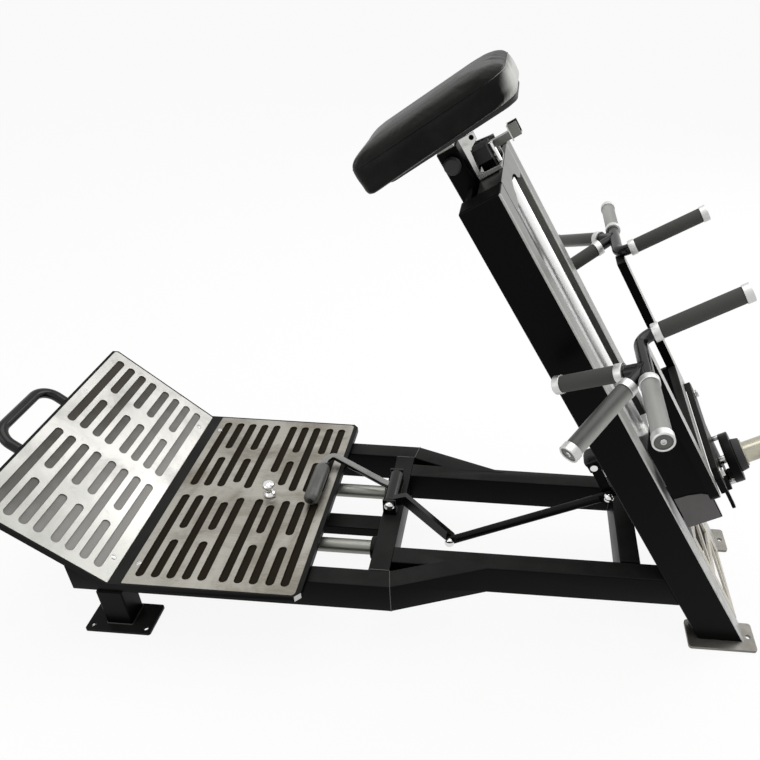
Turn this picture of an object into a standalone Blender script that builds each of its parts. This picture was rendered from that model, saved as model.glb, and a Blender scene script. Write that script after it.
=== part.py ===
"""Plate-loaded row machine: base frame, leaning mast, foot platform, carriage, chest support and pedal.

Lengths are in metres. The machine runs along X, with the mast at +X, and is symmetric about the XZ plane except
for the pedal, its push rod and the platform's pull handle. Mast pieces use the mast's own axes: x is out of its
front face, y across it and z up along it.
"""

from math import atan2, cos, pi, sin, tan

import bmesh
import bpy
from mathutils import Vector

# Clearances
GAP = 0.0003
RUN = 0.0001
WELD = 0.0004

# Base frame
FOOT_T = 0.008
BASE_LOW = 0.119
BASE_TOP = 0.2035
RAIL_W = 0.050
WIDE_Y = 0.2351
NARROW_Y = 0.1572
WIDE_LEFT = -0.643
SPLAY_START_X = 0.1191
SPLAY_END_X = 0.3364
CROSS_X = (0.060, 0.110)
REAR_CROSS_X = (-0.600, -0.550)
MAST_CROSS_X = (0.652, 0.701)
REAR_POST_X = (-0.588, -0.525)
REAR_POST_Y = (0.205, 0.265)
REAR_FOOT_X = (-0.634, -0.473)
REAR_FOOT_Y = (0.199, 0.287)
MAST_FOOT_X = (0.839, 1.005)
MAST_FOOT_Y = (0.126, 0.209)
ANCHOR_INSET = 0.015
ANCHOR_R = 0.006

# Mast
LEAN = 0.538
MAST_X = 0.9818
MAST_H = 1.276
POST_Y = (0.123, 0.1837)
POST_D_LOW = 0.098
POST_D_TOP = 0.081
PLATE_T = 0.008
LATTICE_T = 0.006
LATTICE_S = (0.020, 0.330)
ROD_R = 0.015
ROD_T = -0.012
ROD_LOW = 0.395
ROD_TOP = 1.2397
HEAD_S = (0.355, 0.3947)
HEAD_T = (-0.045, 0.0)
RING_R = 0.030
BRACKET_WALL = 0.004
SADDLE_R = 0.030

# Foot platform
FLAT_X = (-0.474, -0.082)
BASE_RIGHT = -0.070
DECK_Z = 0.222
DECK_UNDER = 0.206
DECK_HALF = 0.3175
RIM_W = 0.004
FOLD_X = -0.5041
FOLD_Z = 0.2188
SLOPE = 0.7304
SLOPE_LEN = 0.326
POCKET = 0.004
SLOT_W = 0.020
SLIDE_Y = 0.102
SLIDE_Z = 0.162
SLIDE_R = 0.018
SEAT_R = 0.028
BEARING_X = (-0.430, -0.130)
SEAT_L = 0.014
PIN_X = -0.235
PIN_R = 0.006
BEAM_HALF = 0.025
BEAM_Z = (0.120, 0.150)
HOLE_PITCH = 0.020

# Carriage
SIDE_Y = (0.173, 0.183)
SIDE_T = (0.013, 0.0865)
SIDE_S = (0.430, 0.605)
BEARING_S = (0.432, 0.600)
BEARING_HALF = 0.038
BEARING_T = (-0.045, 0.0127)
WEB_T = 0.008
ARM_Y = (0.173, 0.223)
ARM_T = (0.087, 0.107)
ARM_LOW = 0.508
HORN_S = 0.421
HORN_PLATE_T = (0.1073, 0.1213)
SLEEVE_R = 0.025
SLEEVE_END = 0.417

# Handles
HANDLE_S = 0.924
HANDLE_T = 0.098
HANDLE_Y = 0.198
BAR_R = 0.0125
GRIP_R = 0.016
COLLAR_R = 0.0178
COLLAR_L = 0.015
GRIPS = {
    "front": ((0.125, 0.198), (0.306, 0.198)),
    "side": ((0.098, 0.3375), (0.098, 0.5054)),
    "inner": ((0.061, 0.284), (-0.070, 0.234)),
    "outer": ((0.065, 0.328), (-0.054, 0.450)),
}

# Chest support
PAD_SPAN = (-0.144, 0.181)
PAD_HALF = 0.117
PAD_S = 1.3727
PAD_TILT = 0.0558
BOARD_T = 0.010
SUPPORT_T = (-0.098, -0.057)
SUPPORT_HALF = 0.040
SUPPORT_WALL = 0.0035
SUPPORT_S = (1.060, 1.350)
PAD_PIN_S = 1.324

# Pedal, push rod and latch
HUB = (0.080, 0.235)
HUB_R = 0.015
HUB_Y = (-0.020, 0.095)
JOINT_B = (0.233, 0.126)
JOINT_C = (0.619, 0.315)
LATCH_T = -0.145
LATCH_S = 0.554
LATCH_TIP_T = -0.063
LATCH_BAR_T = (-0.088, -0.062)
LINK_Y = (-0.0195, -0.0095)
EYE_Y = (-0.0295, -0.0200)
FORK_Y = (LINK_Y[0] - 0.007, LINK_Y[1] + 0.040)
ROLLER_X = -0.118
ROLLER_Z = 0.2435
ROLLER_R = 0.019
ROLLER_Y = (-0.037, 0.100)


def make_material(name, colour, metallic, roughness):
    """Plain finish with its own shader."""
    made = bpy.data.materials.new(name)
    made.use_nodes = True
    shader = made.node_tree.nodes["Principled BSDF"]
    shader.inputs["Base Color"].default_value = (*colour, 1.0)
    shader.inputs["Metallic"].default_value = metallic
    shader.inputs["Roughness"].default_value = roughness
    return made


def empty(name, parent, at=(0.0, 0.0, 0.0), turn_y=0.0):
    """Named point that pieces hang from."""
    made = bpy.data.objects.new(name, None)
    made.location = at
    made.rotation_euler = (0.0, turn_y, 0.0)
    made.parent = parent
    bpy.context.collection.objects.link(made)
    return made


def finish(name, bm, parent, material, at=(0.0, 0.0, 0.0), bevel=0.0, steps=1, smooth=False):
    """Turns the built mesh into a named, shaded piece."""
    bmesh.ops.recalc_face_normals(bm, faces=bm.faces)
    mesh = bpy.data.meshes.new(name)
    bm.to_mesh(mesh)
    bm.free()
    made = bpy.data.objects.new(name, mesh)
    made.location = at
    made.parent = parent
    bpy.context.collection.objects.link(made)
    if material is not None:
        mesh.materials.append(material)
    if bevel > 0.0:
        edge = made.modifiers.new("edges", "BEVEL")
        edge.width = bevel
        edge.segments = steps
        edge.limit_method = "ANGLE"
        edge.angle_limit = 0.6
        edge.use_clamp_overlap = True
    if smooth:
        for face in mesh.polygons:
            face.use_smooth = True
        mesh.set_sharp_from_angle(angle=0.6)
    return made


def cut(target, name, bm, parent, operation="DIFFERENCE"):
    """Takes the shape away from the target, or joins it on."""
    tool = finish(name, bm, parent, None)
    tool.hide_render = True
    tool.display_type = "WIRE"
    step = target.modifiers.new(name, "BOOLEAN")
    step.object = tool
    step.operation = operation
    step.solver = "EXACT"
    return tool


def join(target, name, bm, parent):
    """Welds the shape onto the target."""
    return cut(target, name, bm, parent, "UNION")


def prism(bm, outline, low, high, across="y"):
    """Extrudes a flat outline between two levels of the axis across it."""
    order = {"y": lambda a, b, c: (a, c, b), "z": lambda a, b, c: (a, b, c), "x": lambda a, b, c: (c, a, b)}[across]
    corners = [bm.verts.new(order(a, b, low)) for a, b in outline]
    face = bm.faces.new(corners)
    grown = bmesh.ops.extrude_face_region(bm, geom=[face])
    moved = [item for item in grown["geom"] if isinstance(item, bmesh.types.BMVert)]
    bmesh.ops.translate(bm, verts=moved, vec=Vector(order(0.0, 0.0, high - low)))


def block(bm, x, y, z):
    """Rectangular block between two limits on each axis."""
    prism(bm, [(x[0], y[0]), (x[1], y[0]), (x[1], y[1]), (x[0], y[1])], z[0], z[1], "z")


def circle(radius, count, centre=(0.0, 0.0), start=0.0):
    """Points of a regular outline."""
    steps = [start + 2.0 * pi * index / count for index in range(count)]
    return [(centre[0] + radius * cos(a), centre[1] + radius * sin(a)) for a in steps]


def rounded(x, y, radius, steps=4):
    """Rectangle outline with round corners; one radius, or one for each corner from the low one round."""
    radii = radius if isinstance(radius, (list, tuple)) else [radius] * 4
    places = [(x[0], y[0], pi), (x[1], y[0], 1.5 * pi), (x[1], y[1], 0.0), (x[0], y[1], 0.5 * pi)]
    points = []
    for (cx, cy, first), r in zip(places, radii):
        mx = cx + (r if cx == x[0] else -r)
        my = cy + (r if cy == y[0] else -r)
        for index in range(steps + 1):
            turn = first + 0.5 * pi * index / steps
            points.append((mx + r * cos(turn), my + r * sin(turn)))
    return points


def strip(path, half, steps=5):
    """Outline of a flat link of even width along a bent line, with round ends."""
    left = []
    right = []
    last = len(path) - 1
    for index, (px, py) in enumerate(path):
        before = path[max(index - 1, 0)]
        after = path[min(index + 1, last)]
        a_in = atan2(py - before[1], px - before[0]) if index > 0 else None
        a_out = atan2(after[1] - py, after[0] - px) if index < last else None
        a_in = a_out if a_in is None else a_in
        a_out = a_in if a_out is None else a_out
        middle = 0.5 * (a_in + a_out)
        reach = half / cos(0.5 * (a_out - a_in))
        if 0 < index < last:
            left.append((px - reach * sin(middle), py + reach * cos(middle)))
            right.append((px + reach * sin(middle), py - reach * cos(middle)))
        elif index == 0:
            turns = [middle + 0.5 * pi + pi * k / steps for k in range(steps + 1)]
            start = [(px + half * cos(a), py + half * sin(a)) for a in turns]
        else:
            turns = [middle - 0.5 * pi + pi * k / steps for k in range(steps + 1)]
            end = [(px + half * cos(a), py + half * sin(a)) for a in turns]
    return start + right + end + left[::-1]


def fillet(path, radius, steps=5):
    """Rounds the inner corners of a line in space."""
    points = [Vector(path[0])]
    for before, corner, after in zip(path, path[1:], path[2:]):
        corner = Vector(corner)
        back = (Vector(before) - corner).normalized()
        ahead = (Vector(after) - corner).normalized()
        half_turn = 0.5 * back.angle(ahead)
        centre = corner + (back + ahead).normalized() * (radius / sin(half_turn))
        start = (corner + back * (radius / tan(half_turn)) - centre).normalized()
        end = (corner + ahead * (radius / tan(half_turn)) - centre).normalized()
        for index in range(steps + 1):
            points.append(centre + start.slerp(end, index / steps) * radius)
    points.append(Vector(path[-1]))
    return points


def sweep(bm, section, path, start_cut=None, end_cut=None, up=(0.0, 0.0, 1.0)):
    """Carries a section along a line, mitred at each bend and cut square or on the given planes at its ends."""
    points = [Vector(point) for point in path]
    ways = [(b - a).normalized() for a, b in zip(points, points[1:])]
    side = ways[0].cross(Vector(up)).normalized()
    top = side.cross(ways[0]).normalized()
    planes = [Vector(start_cut) if start_cut else ways[0]]
    planes += [(a + b).normalized() for a, b in zip(ways, ways[1:])]
    planes.append(Vector(end_cut) if end_cut else ways[-1])
    places = [points[0] + side * u + top * v for u, v in section]
    rings = []
    for index, (point, plane) in enumerate(zip(points, planes)):
        way = ways[max(index - 1, 0)]
        places = [p + way * ((point - p).dot(plane) / way.dot(plane)) for p in places]
        rings.append([bm.verts.new(p) for p in places])
    for one, two in zip(rings, rings[1:]):
        for a, b, c, d in zip(one, one[1:] + one[:1], two[1:] + two[:1], two):
            bm.faces.new((a, b, c, d))
    bm.faces.new(rings[0][::-1])
    bm.faces.new(rings[-1])


def turned(bm, profile, centre, axis, count=18, closed=False):
    """Turns a profile of (radius, along) pairs about an axis; a closed profile makes a ring."""
    axis = Vector(axis).normalized()
    side = axis.orthogonal().normalized() if abs(axis.y) < 0.9 else Vector((1.0, 0.0, 0.0))
    if abs(axis.y) < 0.1:
        side = Vector((0.0, 1.0, 0.0))
    other = axis.cross(side)
    rings = []
    for radius, along in profile:
        middle = Vector(centre) + axis * along
        if radius == 0.0:
            rings.append([bm.verts.new(middle)])
        else:
            spokes = [2.0 * pi * index / count for index in range(count)]
            rings.append([bm.verts.new(middle + (side * cos(a) + other * sin(a)) * radius) for a in spokes])
    pairs = list(zip(rings, rings[1:])) + ([(rings[-1], rings[0])] if closed else [])
    for one, two in pairs:
        for index in range(count):
            following = (index + 1) % count
            if len(one) == 1 and len(two) == 1:
                continue
            if len(one) == 1:
                bm.faces.new((one[0], two[following], two[index]))
            elif len(two) == 1:
                bm.faces.new((one[index], one[following], two[0]))
            else:
                bm.faces.new((one[index], one[following], two[following], two[index]))


def disc(radius, low, high, edge=0.0):
    """Profile of a solid round piece with a chamfered rim."""
    return [(0.0, low), (radius - edge, low), (radius, low + edge), (radius, high - edge), (radius - edge, high),
            (0.0, high)] if edge else [(0.0, low), (radius, low), (radius, high), (0.0, high)]


def ring(inner, outer, low, high, edge=0.0):
    """Profile of a round piece with a bore."""
    if edge:
        return [(inner, low), (outer - edge, low), (outer, low + edge), (outer, high - edge), (outer - edge, high),
                (inner, high)]
    return [(inner, low), (outer, low), (outer, high), (inner, high)]


def mast_point(t, s):
    """Place in the machine's XZ plane of a point given in the mast's axes."""
    return MAST_X - sin(LEAN) * s + cos(LEAN) * t, cos(LEAN) * s + sin(LEAN) * t


def mast_axes(x, z):
    """Place in the mast's axes of a point in the machine's XZ plane."""
    return cos(LEAN) * (x - MAST_X) + sin(LEAN) * z, cos(LEAN) * z - sin(LEAN) * (x - MAST_X)


def post_back(s):
    """Depth of the posts' back face at a height along the mast."""
    return -POST_D_LOW + (POST_D_LOW - POST_D_TOP) * s / MAST_H


def rail_section(half_width, half_height, radius=0.004, steps=1):
    """Section of a rectangular steel tube."""
    return rounded((-half_width, half_width), (-half_height, half_height), radius, steps)


def build_base(root, finishes):
    """Welded side rails, cross tubes with the rod seats, and rear legs."""
    black = finishes["frame_black"]
    middle = 0.5 * (BASE_LOW + BASE_TOP)
    section = rail_section(0.5 * RAIL_W, 0.5 * (BASE_TOP - BASE_LOW))
    splay = atan2(WIDE_Y - NARROW_Y, SPLAY_END_X - SPLAY_START_X)
    turn_x = SPLAY_START_X - 0.5 * RAIL_W * tan(0.5 * splay)
    back_low = mast_point(post_back(0.0), 0.0)
    back_high = mast_point(post_back(MAST_H), MAST_H)
    back_way = Vector((back_high[0] - back_low[0], 0.0, back_high[1] - back_low[1])).normalized()
    back_x = back_low[0] + back_way.x / back_way.z * (middle - back_low[1]) - GAP
    back_plane = (back_way.z, 0.0, -back_way.x)
    for side, label in ((-1.0, "near"), (1.0, "far")):
        way = Vector((cos(splay), -side * sin(splay), 0.0))
        turn = Vector((turn_x, side * WIDE_Y, middle))
        reach = (WIDE_Y - NARROW_Y - 0.25 * RAIL_W) / sin(splay)
        bm = bmesh.new()
        sweep(bm, section, [(WIDE_LEFT, side * WIDE_Y, middle), turn, turn + way * reach],
              end_cut=(0.0, -side, 0.0))
        rail = finish(f"side_rail_{label}", bm, root, black)
        narrow = bmesh.new()
        line = [(CROSS_X[1] + GAP, side * NARROW_Y, middle), (back_x, side * NARROW_Y, middle)]
        sweep(narrow, rail_section(0.5 * RAIL_W, 0.5 * (BASE_TOP - BASE_LOW) - WELD), line,
              end_cut=back_plane)
        join(rail, f"narrow_rail_{label}", narrow, root)

        low, high = sorted((side * REAR_POST_Y[0], side * REAR_POST_Y[1]))
        bm = bmesh.new()
        prism(bm, rounded(REAR_POST_X, (low, high), 0.004, 2), 0.5 * FOOT_T, BASE_LOW - GAP, "z")
        leg = finish(f"rear_leg_{label}", bm, root, black)
        low, high = sorted((side * REAR_FOOT_Y[0], side * REAR_FOOT_Y[1]))
        foot = bmesh.new()
        prism(foot, rounded(REAR_FOOT_X, (low, high), 0.006, 2), 0.0, FOOT_T, "z")
        join(leg, f"rear_foot_{label}", foot, root)
        bolt_holes = bmesh.new()
        for x in (REAR_FOOT_X[0] + ANCHOR_INSET, REAR_FOOT_X[1] - ANCHOR_INSET):
            centre = (x, side * (REAR_FOOT_Y[1] - ANCHOR_INSET))
            prism(bolt_holes, circle(ANCHOR_R, 12, centre), -0.01, FOOT_T + 0.01, "z")
        cut(leg, f"rear_anchor_cutter_{label}", bolt_holes, root)

    rod_low = REAR_CROSS_X[1]
    rod_high = CROSS_X[0]
    for name, span, half, seat in (("front_cross_tube", CROSS_X, WIDE_Y, (rod_high - SEAT_L, rod_high + 0.004)),
                                   ("rear_cross_tube", REAR_CROSS_X, WIDE_Y, (rod_low - 0.004, rod_low + SEAT_L)),
                                   ("mast_cross_tube", MAST_CROSS_X, NARROW_Y, None)):
        bm = bmesh.new()
        reach = half - 0.5 * RAIL_W - GAP
        prism(bm, rounded(span, (BASE_LOW, BASE_TOP), 0.004, 1), -reach, reach, "y")
        tube = finish(name, bm, root, black)
        if seat is None:
            continue
        rings = bmesh.new()
        sockets = bmesh.new()
        for y in (-SLIDE_Y, SLIDE_Y):
            turned(rings, disc(SEAT_R, seat[0], seat[1], 0.0015), (0.0, y, SLIDE_Z), (1.0, 0.0, 0.0))
            open_end = (rod_high - SEAT_L - 0.01, rod_high) if seat[1] > 0.0 else (rod_low, rod_low + SEAT_L + 0.01)
            turned(sockets, disc(SLIDE_R + GAP, *open_end), (0.0, y, SLIDE_Z), (1.0, 0.0, 0.0))
        join(tube, f"{name}_seats", rings, root)
        cut(tube, f"{name}_socket_cutter", sockets, root)


def build_mast(root, mast, finishes):
    """Leaning posts, lattice plate, crossheads, guide rod and stop ring."""
    black = finishes["frame_black"]
    floor = 0.5 * FOOT_T
    toe = floor / cos(LEAN)
    heel = (floor + sin(LEAN) * POST_D_LOW) / cos(LEAN)
    heel_t = post_back(heel)
    heel = (floor - sin(LEAN) * heel_t) / cos(LEAN)
    for side, label in ((-1.0, "near"), (1.0, "far")):
        low, high = sorted((side * POST_Y[0], side * POST_Y[1]))
        outline = [(0.0, toe), (0.0, MAST_H), (-POST_D_TOP, MAST_H), (heel_t, heel)]
        bm = bmesh.new()
        prism(bm, outline, low, high, "y")
        post = finish(f"mast_post_{label}", bm, mast, black, bevel=0.003)
        low, high = sorted((side * MAST_FOOT_Y[0], side * MAST_FOOT_Y[1]))
        foot = bmesh.new()
        prism(foot, rounded(MAST_FOOT_X, (low, high), 0.008, 3), 0.0, FOOT_T, "z")
        join(post, f"mast_foot_{label}", foot, root)
        hole = bmesh.new()
        centre = (MAST_FOOT_X[1] - ANCHOR_INSET, side * 0.5 * (MAST_FOOT_Y[0] + MAST_FOOT_Y[1]))
        prism(hole, circle(0.006, 16, centre), -0.01, FOOT_T + 0.01, "z")
        cut(post, f"mast_anchor_cutter_{label}", hole, root)

    inner = POST_Y[0] - GAP
    bm = bmesh.new()
    prism(bm, rounded((-inner, inner), LATTICE_S, 0.006, 2), -LATTICE_T, 0.0, "x")
    lattice = finish("mast_lattice_plate", bm, mast, black)
    cut(lattice, "lattice_cutter", lattice_holes(inner), mast)
    head = bmesh.new()
    block(head, HEAD_T, (WELD - inner, inner - WELD), (LATTICE_S[1] - 0.004, HEAD_S[1]))
    join(lattice, "lower_crosshead", head, mast)

    arch = [(0.050 * sin(a), ROD_TOP + 0.0025 - 0.018 * (1.0 - cos(a))) for a in
            [0.5 * pi * k / 4 for k in range(5)]]
    lower = [(-y, s) for y, s in arch[::-1]] + arch[1:]
    edge = ROD_TOP - 0.026
    outline = [(-inner, MAST_H + 0.004), (-inner, edge), (-0.080, edge)] + lower
    outline += [(0.080, edge), (inner, edge), (inner, MAST_H + 0.004)]
    bm = bmesh.new()
    prism(bm, outline, -PLATE_T, 0.0, "x")
    plate = finish("mast_top_plate", bm, mast, black)
    head = bmesh.new()
    block(head, (-PLATE_T - 0.042, -0.5 * PLATE_T), (WELD - inner, inner - WELD), (ROD_TOP + GAP, MAST_H - 0.002))
    join(plate, "upper_crosshead", head, mast)

    bm = bmesh.new()
    turned(bm, disc(ROD_R, ROD_LOW, ROD_TOP, 0.001), (ROD_T, 0.0, 0.0), (0.0, 0.0, 1.0))
    finish("guide_rod", bm, mast, finishes["chrome"], smooth=True)

    bm = bmesh.new()
    profile = ring(ROD_R + 0.0005, RING_R, ROD_LOW + GAP, BEARING_S[0] - GAP, 0.004)
    turned(bm, profile, (ROD_T, 0.0, 0.0), (0.0, 0.0, 1.0), closed=True)
    finish("stop_ring", bm, mast, finishes["black_rubber"], smooth=True)


def lattice_holes(half):
    """Triangular openings of the plate between the posts' feet."""
    reach = half - 0.014
    low = LATTICE_S[0] + 0.018
    high = LATTICE_S[1] - 0.014
    quarter = 0.25 * (high - low)
    left = [(-reach, high), (-reach, high - 2.0 * quarter), (-reach, low)]
    right = [(reach, high), (reach, high - quarter), (reach, low + quarter), (reach, low)]
    groups = [(left[0], left[1], right[1]), (left[0], right[0], right[1]), (left[1], right[1], right[2]),
              (left[1], left[2], right[2]), (left[2], right[2], right[3])]
    bm = bmesh.new()
    for group in groups:
        cx = sum(p[0] for p in group) / 3.0
        cy = sum(p[1] for p in group) / 3.0
        shrunk = [(cx + 0.76 * (p[0] - cx), cy + 0.76 * (p[1] - cy)) for p in group]
        prism(bm, shrunk, -0.02, 0.02, "x")
    return bm


def build_mast_top(mast, finishes):
    """Zinc bracket and clip channel on the mast's top, with the saddle between its walls."""
    low = MAST_H + 0.0045
    wall = BRACKET_WALL
    half = SUPPORT_HALF + wall + 0.0005
    back = SUPPORT_T[1] + GAP
    front = 0.024
    high = SUPPORT_S[1] + 0.007
    bm = bmesh.new()
    outline = [(-half, low), (half, low), (half, high), (half - wall, high), (half - wall, low + wall),
               (-half + wall, low + wall), (-half + wall, high), (-half, high)]
    prism(bm, outline, back, front, "x")
    bracket = finish("mast_top_bracket", bm, mast, finishes["zinc"])
    trim = bmesh.new()
    prism(trim, [(-0.016, high + 0.01), (-0.016, high - 0.010), (-0.038, low + 0.036), (-0.040, low + 0.008),
                 (front + 0.01, low + 0.008), (front + 0.01, high + 0.01)], -2.0 * half, 2.0 * half, "y")
    prism(trim, circle(0.0045, 14, (-0.0245, high - 0.007)), -2.2 * half, 2.2 * half, "y")
    cut(bracket, "bracket_trim_cutter", trim, mast)
    floor = low + 0.0005
    rise = low + 0.0255
    outline = [(front - 0.004, floor), (front + 0.002, floor), (front + 0.012, rise), (front + 0.030, rise),
               (front + 0.030, rise + 0.003), (front + 0.009, rise + 0.003), (front - 0.001, floor + 0.0035),
               (front - 0.004, floor + 0.0035)]
    clip = bmesh.new()
    prism(clip, outline, -0.014, 0.014, "y")
    join(bracket, "top_clip_strip", clip, mast)
    channel = bmesh.new()
    outline = [(-0.0136, rise + 0.0005), (0.0136, rise + 0.0005), (0.0136, rise + 0.025), (0.0106, rise + 0.025),
               (0.0106, rise + 0.0025), (-0.0106, rise + 0.0025), (-0.0106, rise + 0.025), (-0.0136, rise + 0.025)]
    prism(channel, outline, front + 0.0105, front + 0.0296, "x")
    join(bracket, "top_clip_channel", channel, mast)

    base = low + 0.5 * wall
    inside = half - wall - GAP
    arc = [(ROD_T + SADDLE_R * cos(a), base + SADDLE_R * sin(a)) for a in [pi * k / 10 for k in range(11)]]
    saddle = bmesh.new()
    prism(saddle, arc, -inside + 0.006, inside - 0.006, "y")
    join(bracket, "top_saddle", saddle, mast)

    bm = bmesh.new()
    top = base + SADDLE_R + GAP
    prism(bm, rounded((-0.0545, 0.008), (top, top + 0.010), 0.002, 1), -0.030, 0.030, "y")
    finish("top_rubber_block", bm, mast, finishes["black_rubber"])


def slot_rows(columns, flip):
    """Slots of one plate as (x, y from, y to), long ones and pairs of short ones in each half."""
    rows = []
    for x, kind in columns:
        if kind == "long":
            spans = [(0.0185, 0.295)]
        elif kind == "short":
            spans = [(0.0185, 0.138), (0.176, 0.295)]
        elif kind == "inner":
            spans = [(0.038, 0.138), (0.176, 0.295)]
        else:
            spans = [(0.088, 0.295)]
        for low, high in spans:
            rows.append((x * flip, low, high))
            if kind != "far long":
                rows.append((x * flip, -high, -low))
        if kind == "far long":
            rows.append((x * flip, -0.295, -0.0185))
    return rows


def slot_cutter(rows, low, high):
    """Round-ended slots that run across the plate."""
    bm = bmesh.new()
    half = 0.5 * SLOT_W
    for x, start, end in rows:
        prism(bm, rounded((x - half, x + half), (start, end), 0.96 * half, 2), low, high, "z")
    return bm


def build_platform(platform, finishes):
    """Folded base, slotted plates, bearings and pull handle."""
    black = finishes["frame_black"]
    slope_x = Vector((-cos(SLOPE), 0.0, sin(SLOPE)))
    slope_n = Vector((sin(SLOPE), 0.0, cos(SLOPE)))
    fold = Vector((FOLD_X, 0.0, FOLD_Z))
    thick = DECK_Z - DECK_UNDER
    half = DECK_HALF + RIM_W

    def on_slope(distance, depth):
        place = fold + slope_x * distance - slope_n * depth
        return place.x, place.z

    def slope_meets(depth, level):
        distance = (level - FOLD_Z + depth * slope_n.z) / slope_x.z
        return on_slope(distance, depth)

    bm = bmesh.new()
    outline = [(BASE_RIGHT, DECK_UNDER), (BASE_RIGHT, DECK_Z), slope_meets(0.0, DECK_Z),
               on_slope(SLOPE_LEN, 0.0), on_slope(SLOPE_LEN, thick), slope_meets(thick, DECK_UNDER)]
    prism(bm, outline, -half, half, "y")
    base = finish("platform_base", bm, platform, black)
    pocket = bmesh.new()
    edge = DECK_HALF + GAP
    corner = 0.010
    prism(pocket, rounded((FLAT_X[0] - GAP, FLAT_X[1] + GAP), (-edge, edge), [0.003, corner, corner, 0.003], 3),
          DECK_Z - POCKET, DECK_Z + 0.01, "z")
    for side in (-1.0, 1.0):
        chamfer = [(BASE_RIGHT + 0.01, side * (half - 0.012) - side * 0.010),
                   (BASE_RIGHT + 0.01, side * (half + 0.01)), (BASE_RIGHT - 0.022, side * (half + 0.01))]
        prism(pocket, chamfer, DECK_UNDER - 0.01, DECK_Z + 0.015, "z")
    cut(base, "flat_pocket_cutter", pocket, platform)
    boss = bmesh.new()
    turned(boss, disc(0.013, BEAM_Z[1] + 0.0025, DECK_UNDER + 0.004), (PIN_X, 0.0, 0.0), (0.0, 0.0, 1.0), 16)
    join(base, "pin_boss", boss, platform)
    pin_way = bmesh.new()
    prism(pin_way, circle(PIN_R + 0.001, 14, (PIN_X, 0.0), 0.11), BEAM_Z[0], DECK_Z + 0.01, "z")
    cut(base, "pin_way_cutter", pin_way, platform)
    raised = empty("raised_panel_datum", platform, (FOLD_X, 0.0, FOLD_Z), SLOPE)
    tilt = bmesh.new()
    far_end = -(SLOPE_LEN - 0.006)
    prism(tilt, rounded((far_end - GAP, -0.0015 + GAP), (-edge, edge), [corner, 0.003, 0.003, corner], 3),
          -POCKET, 0.01, "z")
    for side in (-1.0, 1.0):
        chamfer = [(-SLOPE_LEN - 0.01, side * (half - 0.022)), (-SLOPE_LEN - 0.01, side * (half + 0.01)),
                   (-SLOPE_LEN + 0.022, side * (half + 0.01))]
        prism(tilt, chamfer, -thick - 0.02, 0.015, "z")
    cut(base, "raised_pocket_cutter", tilt, raised)

    plate_low = -POCKET + GAP
    flat = [(-0.445, "long"), (-0.409, "short"), (-0.3735, "long"), (-0.338, "inner"), (-0.3025, "long"),
            (-0.2535, "far long"), (-0.219, "inner"), (-0.1845, "long"), (-0.147, "short"), (-0.1125, "long")]
    bm = bmesh.new()
    prism(bm, rounded(FLAT_X, (-DECK_HALF, DECK_HALF), [0.003, corner, corner, 0.003], 3),
          DECK_Z + plate_low, DECK_Z, "z")
    plate = finish("flat_slotted_plate", bm, platform, finishes["satin_steel"])
    slots = slot_cutter(slot_rows(flat, 1.0), DECK_Z - 0.01, DECK_Z + 0.01)
    prism(slots, circle(PIN_R + 0.001, 16, (PIN_X, 0.0)), DECK_Z - 0.01, DECK_Z + 0.01, "z")
    cut(plate, "flat_slot_cutter", slots, platform)

    outline = rounded((far_end, -0.0015), (-DECK_HALF, DECK_HALF), [corner, 0.003, 0.003, corner], 3)
    steep = [(0.288, "long"), (0.2545, "short"), (0.2195, "long"), (0.186, "short"), (0.145, "short"),
             (0.111, "long"), (0.076, "short"), (0.041, "long")]
    bm = bmesh.new()
    prism(bm, outline, plate_low, 0.0, "z")
    plate = finish("raised_slotted_plate", bm, raised, finishes["satin_steel"])
    cut(plate, "raised_slot_cutter", slot_cutter(slot_rows(steep, -1.0), -0.01, 0.01), raised)

    for y, label in ((-SLIDE_Y, "near"), (SLIDE_Y, "far")):
        bm = bmesh.new()
        block(bm, BEARING_X, (y - 0.030, y + 0.030), (SLIDE_Z - 0.0235, DECK_UNDER - GAP))
        house = finish(f"slide_bearing_{label}", bm, platform, finishes["aluminium"], bevel=0.0015)
        bore = bmesh.new()
        turned(bore, disc(SLIDE_R + RUN, -0.60, 0.0), (0.0, y, SLIDE_Z), (1.0, 0.0, 0.0))
        cut(house, f"slide_bore_cutter_{label}", bore, platform)

    depth = 0.5 * thick
    reach = 0.068
    line = []
    for distance, y in ((SLOPE_LEN + GAP, -0.130), (SLOPE_LEN + reach, -0.130), (SLOPE_LEN + reach, 0.074),
                        (SLOPE_LEN + GAP, 0.074)):
        x, z = on_slope(distance, depth)
        line.append((x, y, z))
    bm = bmesh.new()
    sweep(bm, circle(BAR_R, 12), fillet(line, 0.040, 4), up=tuple(slope_n))
    finish("pull_handle", bm, platform, black, smooth=True)


def build_slide(root, finishes):
    """Rods that the platform runs on and the beam with the locking holes."""
    low = REAR_CROSS_X[1] + GAP
    high = CROSS_X[0] - GAP
    for y, label in ((-SLIDE_Y, "near"), (SLIDE_Y, "far")):
        bm = bmesh.new()
        turned(bm, disc(SLIDE_R, low, high, 0.001), (0.0, y, SLIDE_Z), (1.0, 0.0, 0.0))
        finish(f"slide_rod_{label}", bm, root, finishes["chrome"], smooth=True)

    bm = bmesh.new()
    prism(bm, rounded((-BEAM_HALF, BEAM_HALF), BEAM_Z, 0.003, 2), low, high, "x")
    beam = finish("lock_beam", bm, root, finishes["frame_black"])
    holes = bmesh.new()
    for step in range(-5, 3):
        centre = (PIN_X + step * HOLE_PITCH, 0.0)
        prism(holes, circle(PIN_R + 0.0008, 10, centre), BEAM_Z[0] - 0.01, BEAM_Z[1] + 0.01, "z")
    cut(beam, "lock_hole_cutter", holes, root)


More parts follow.
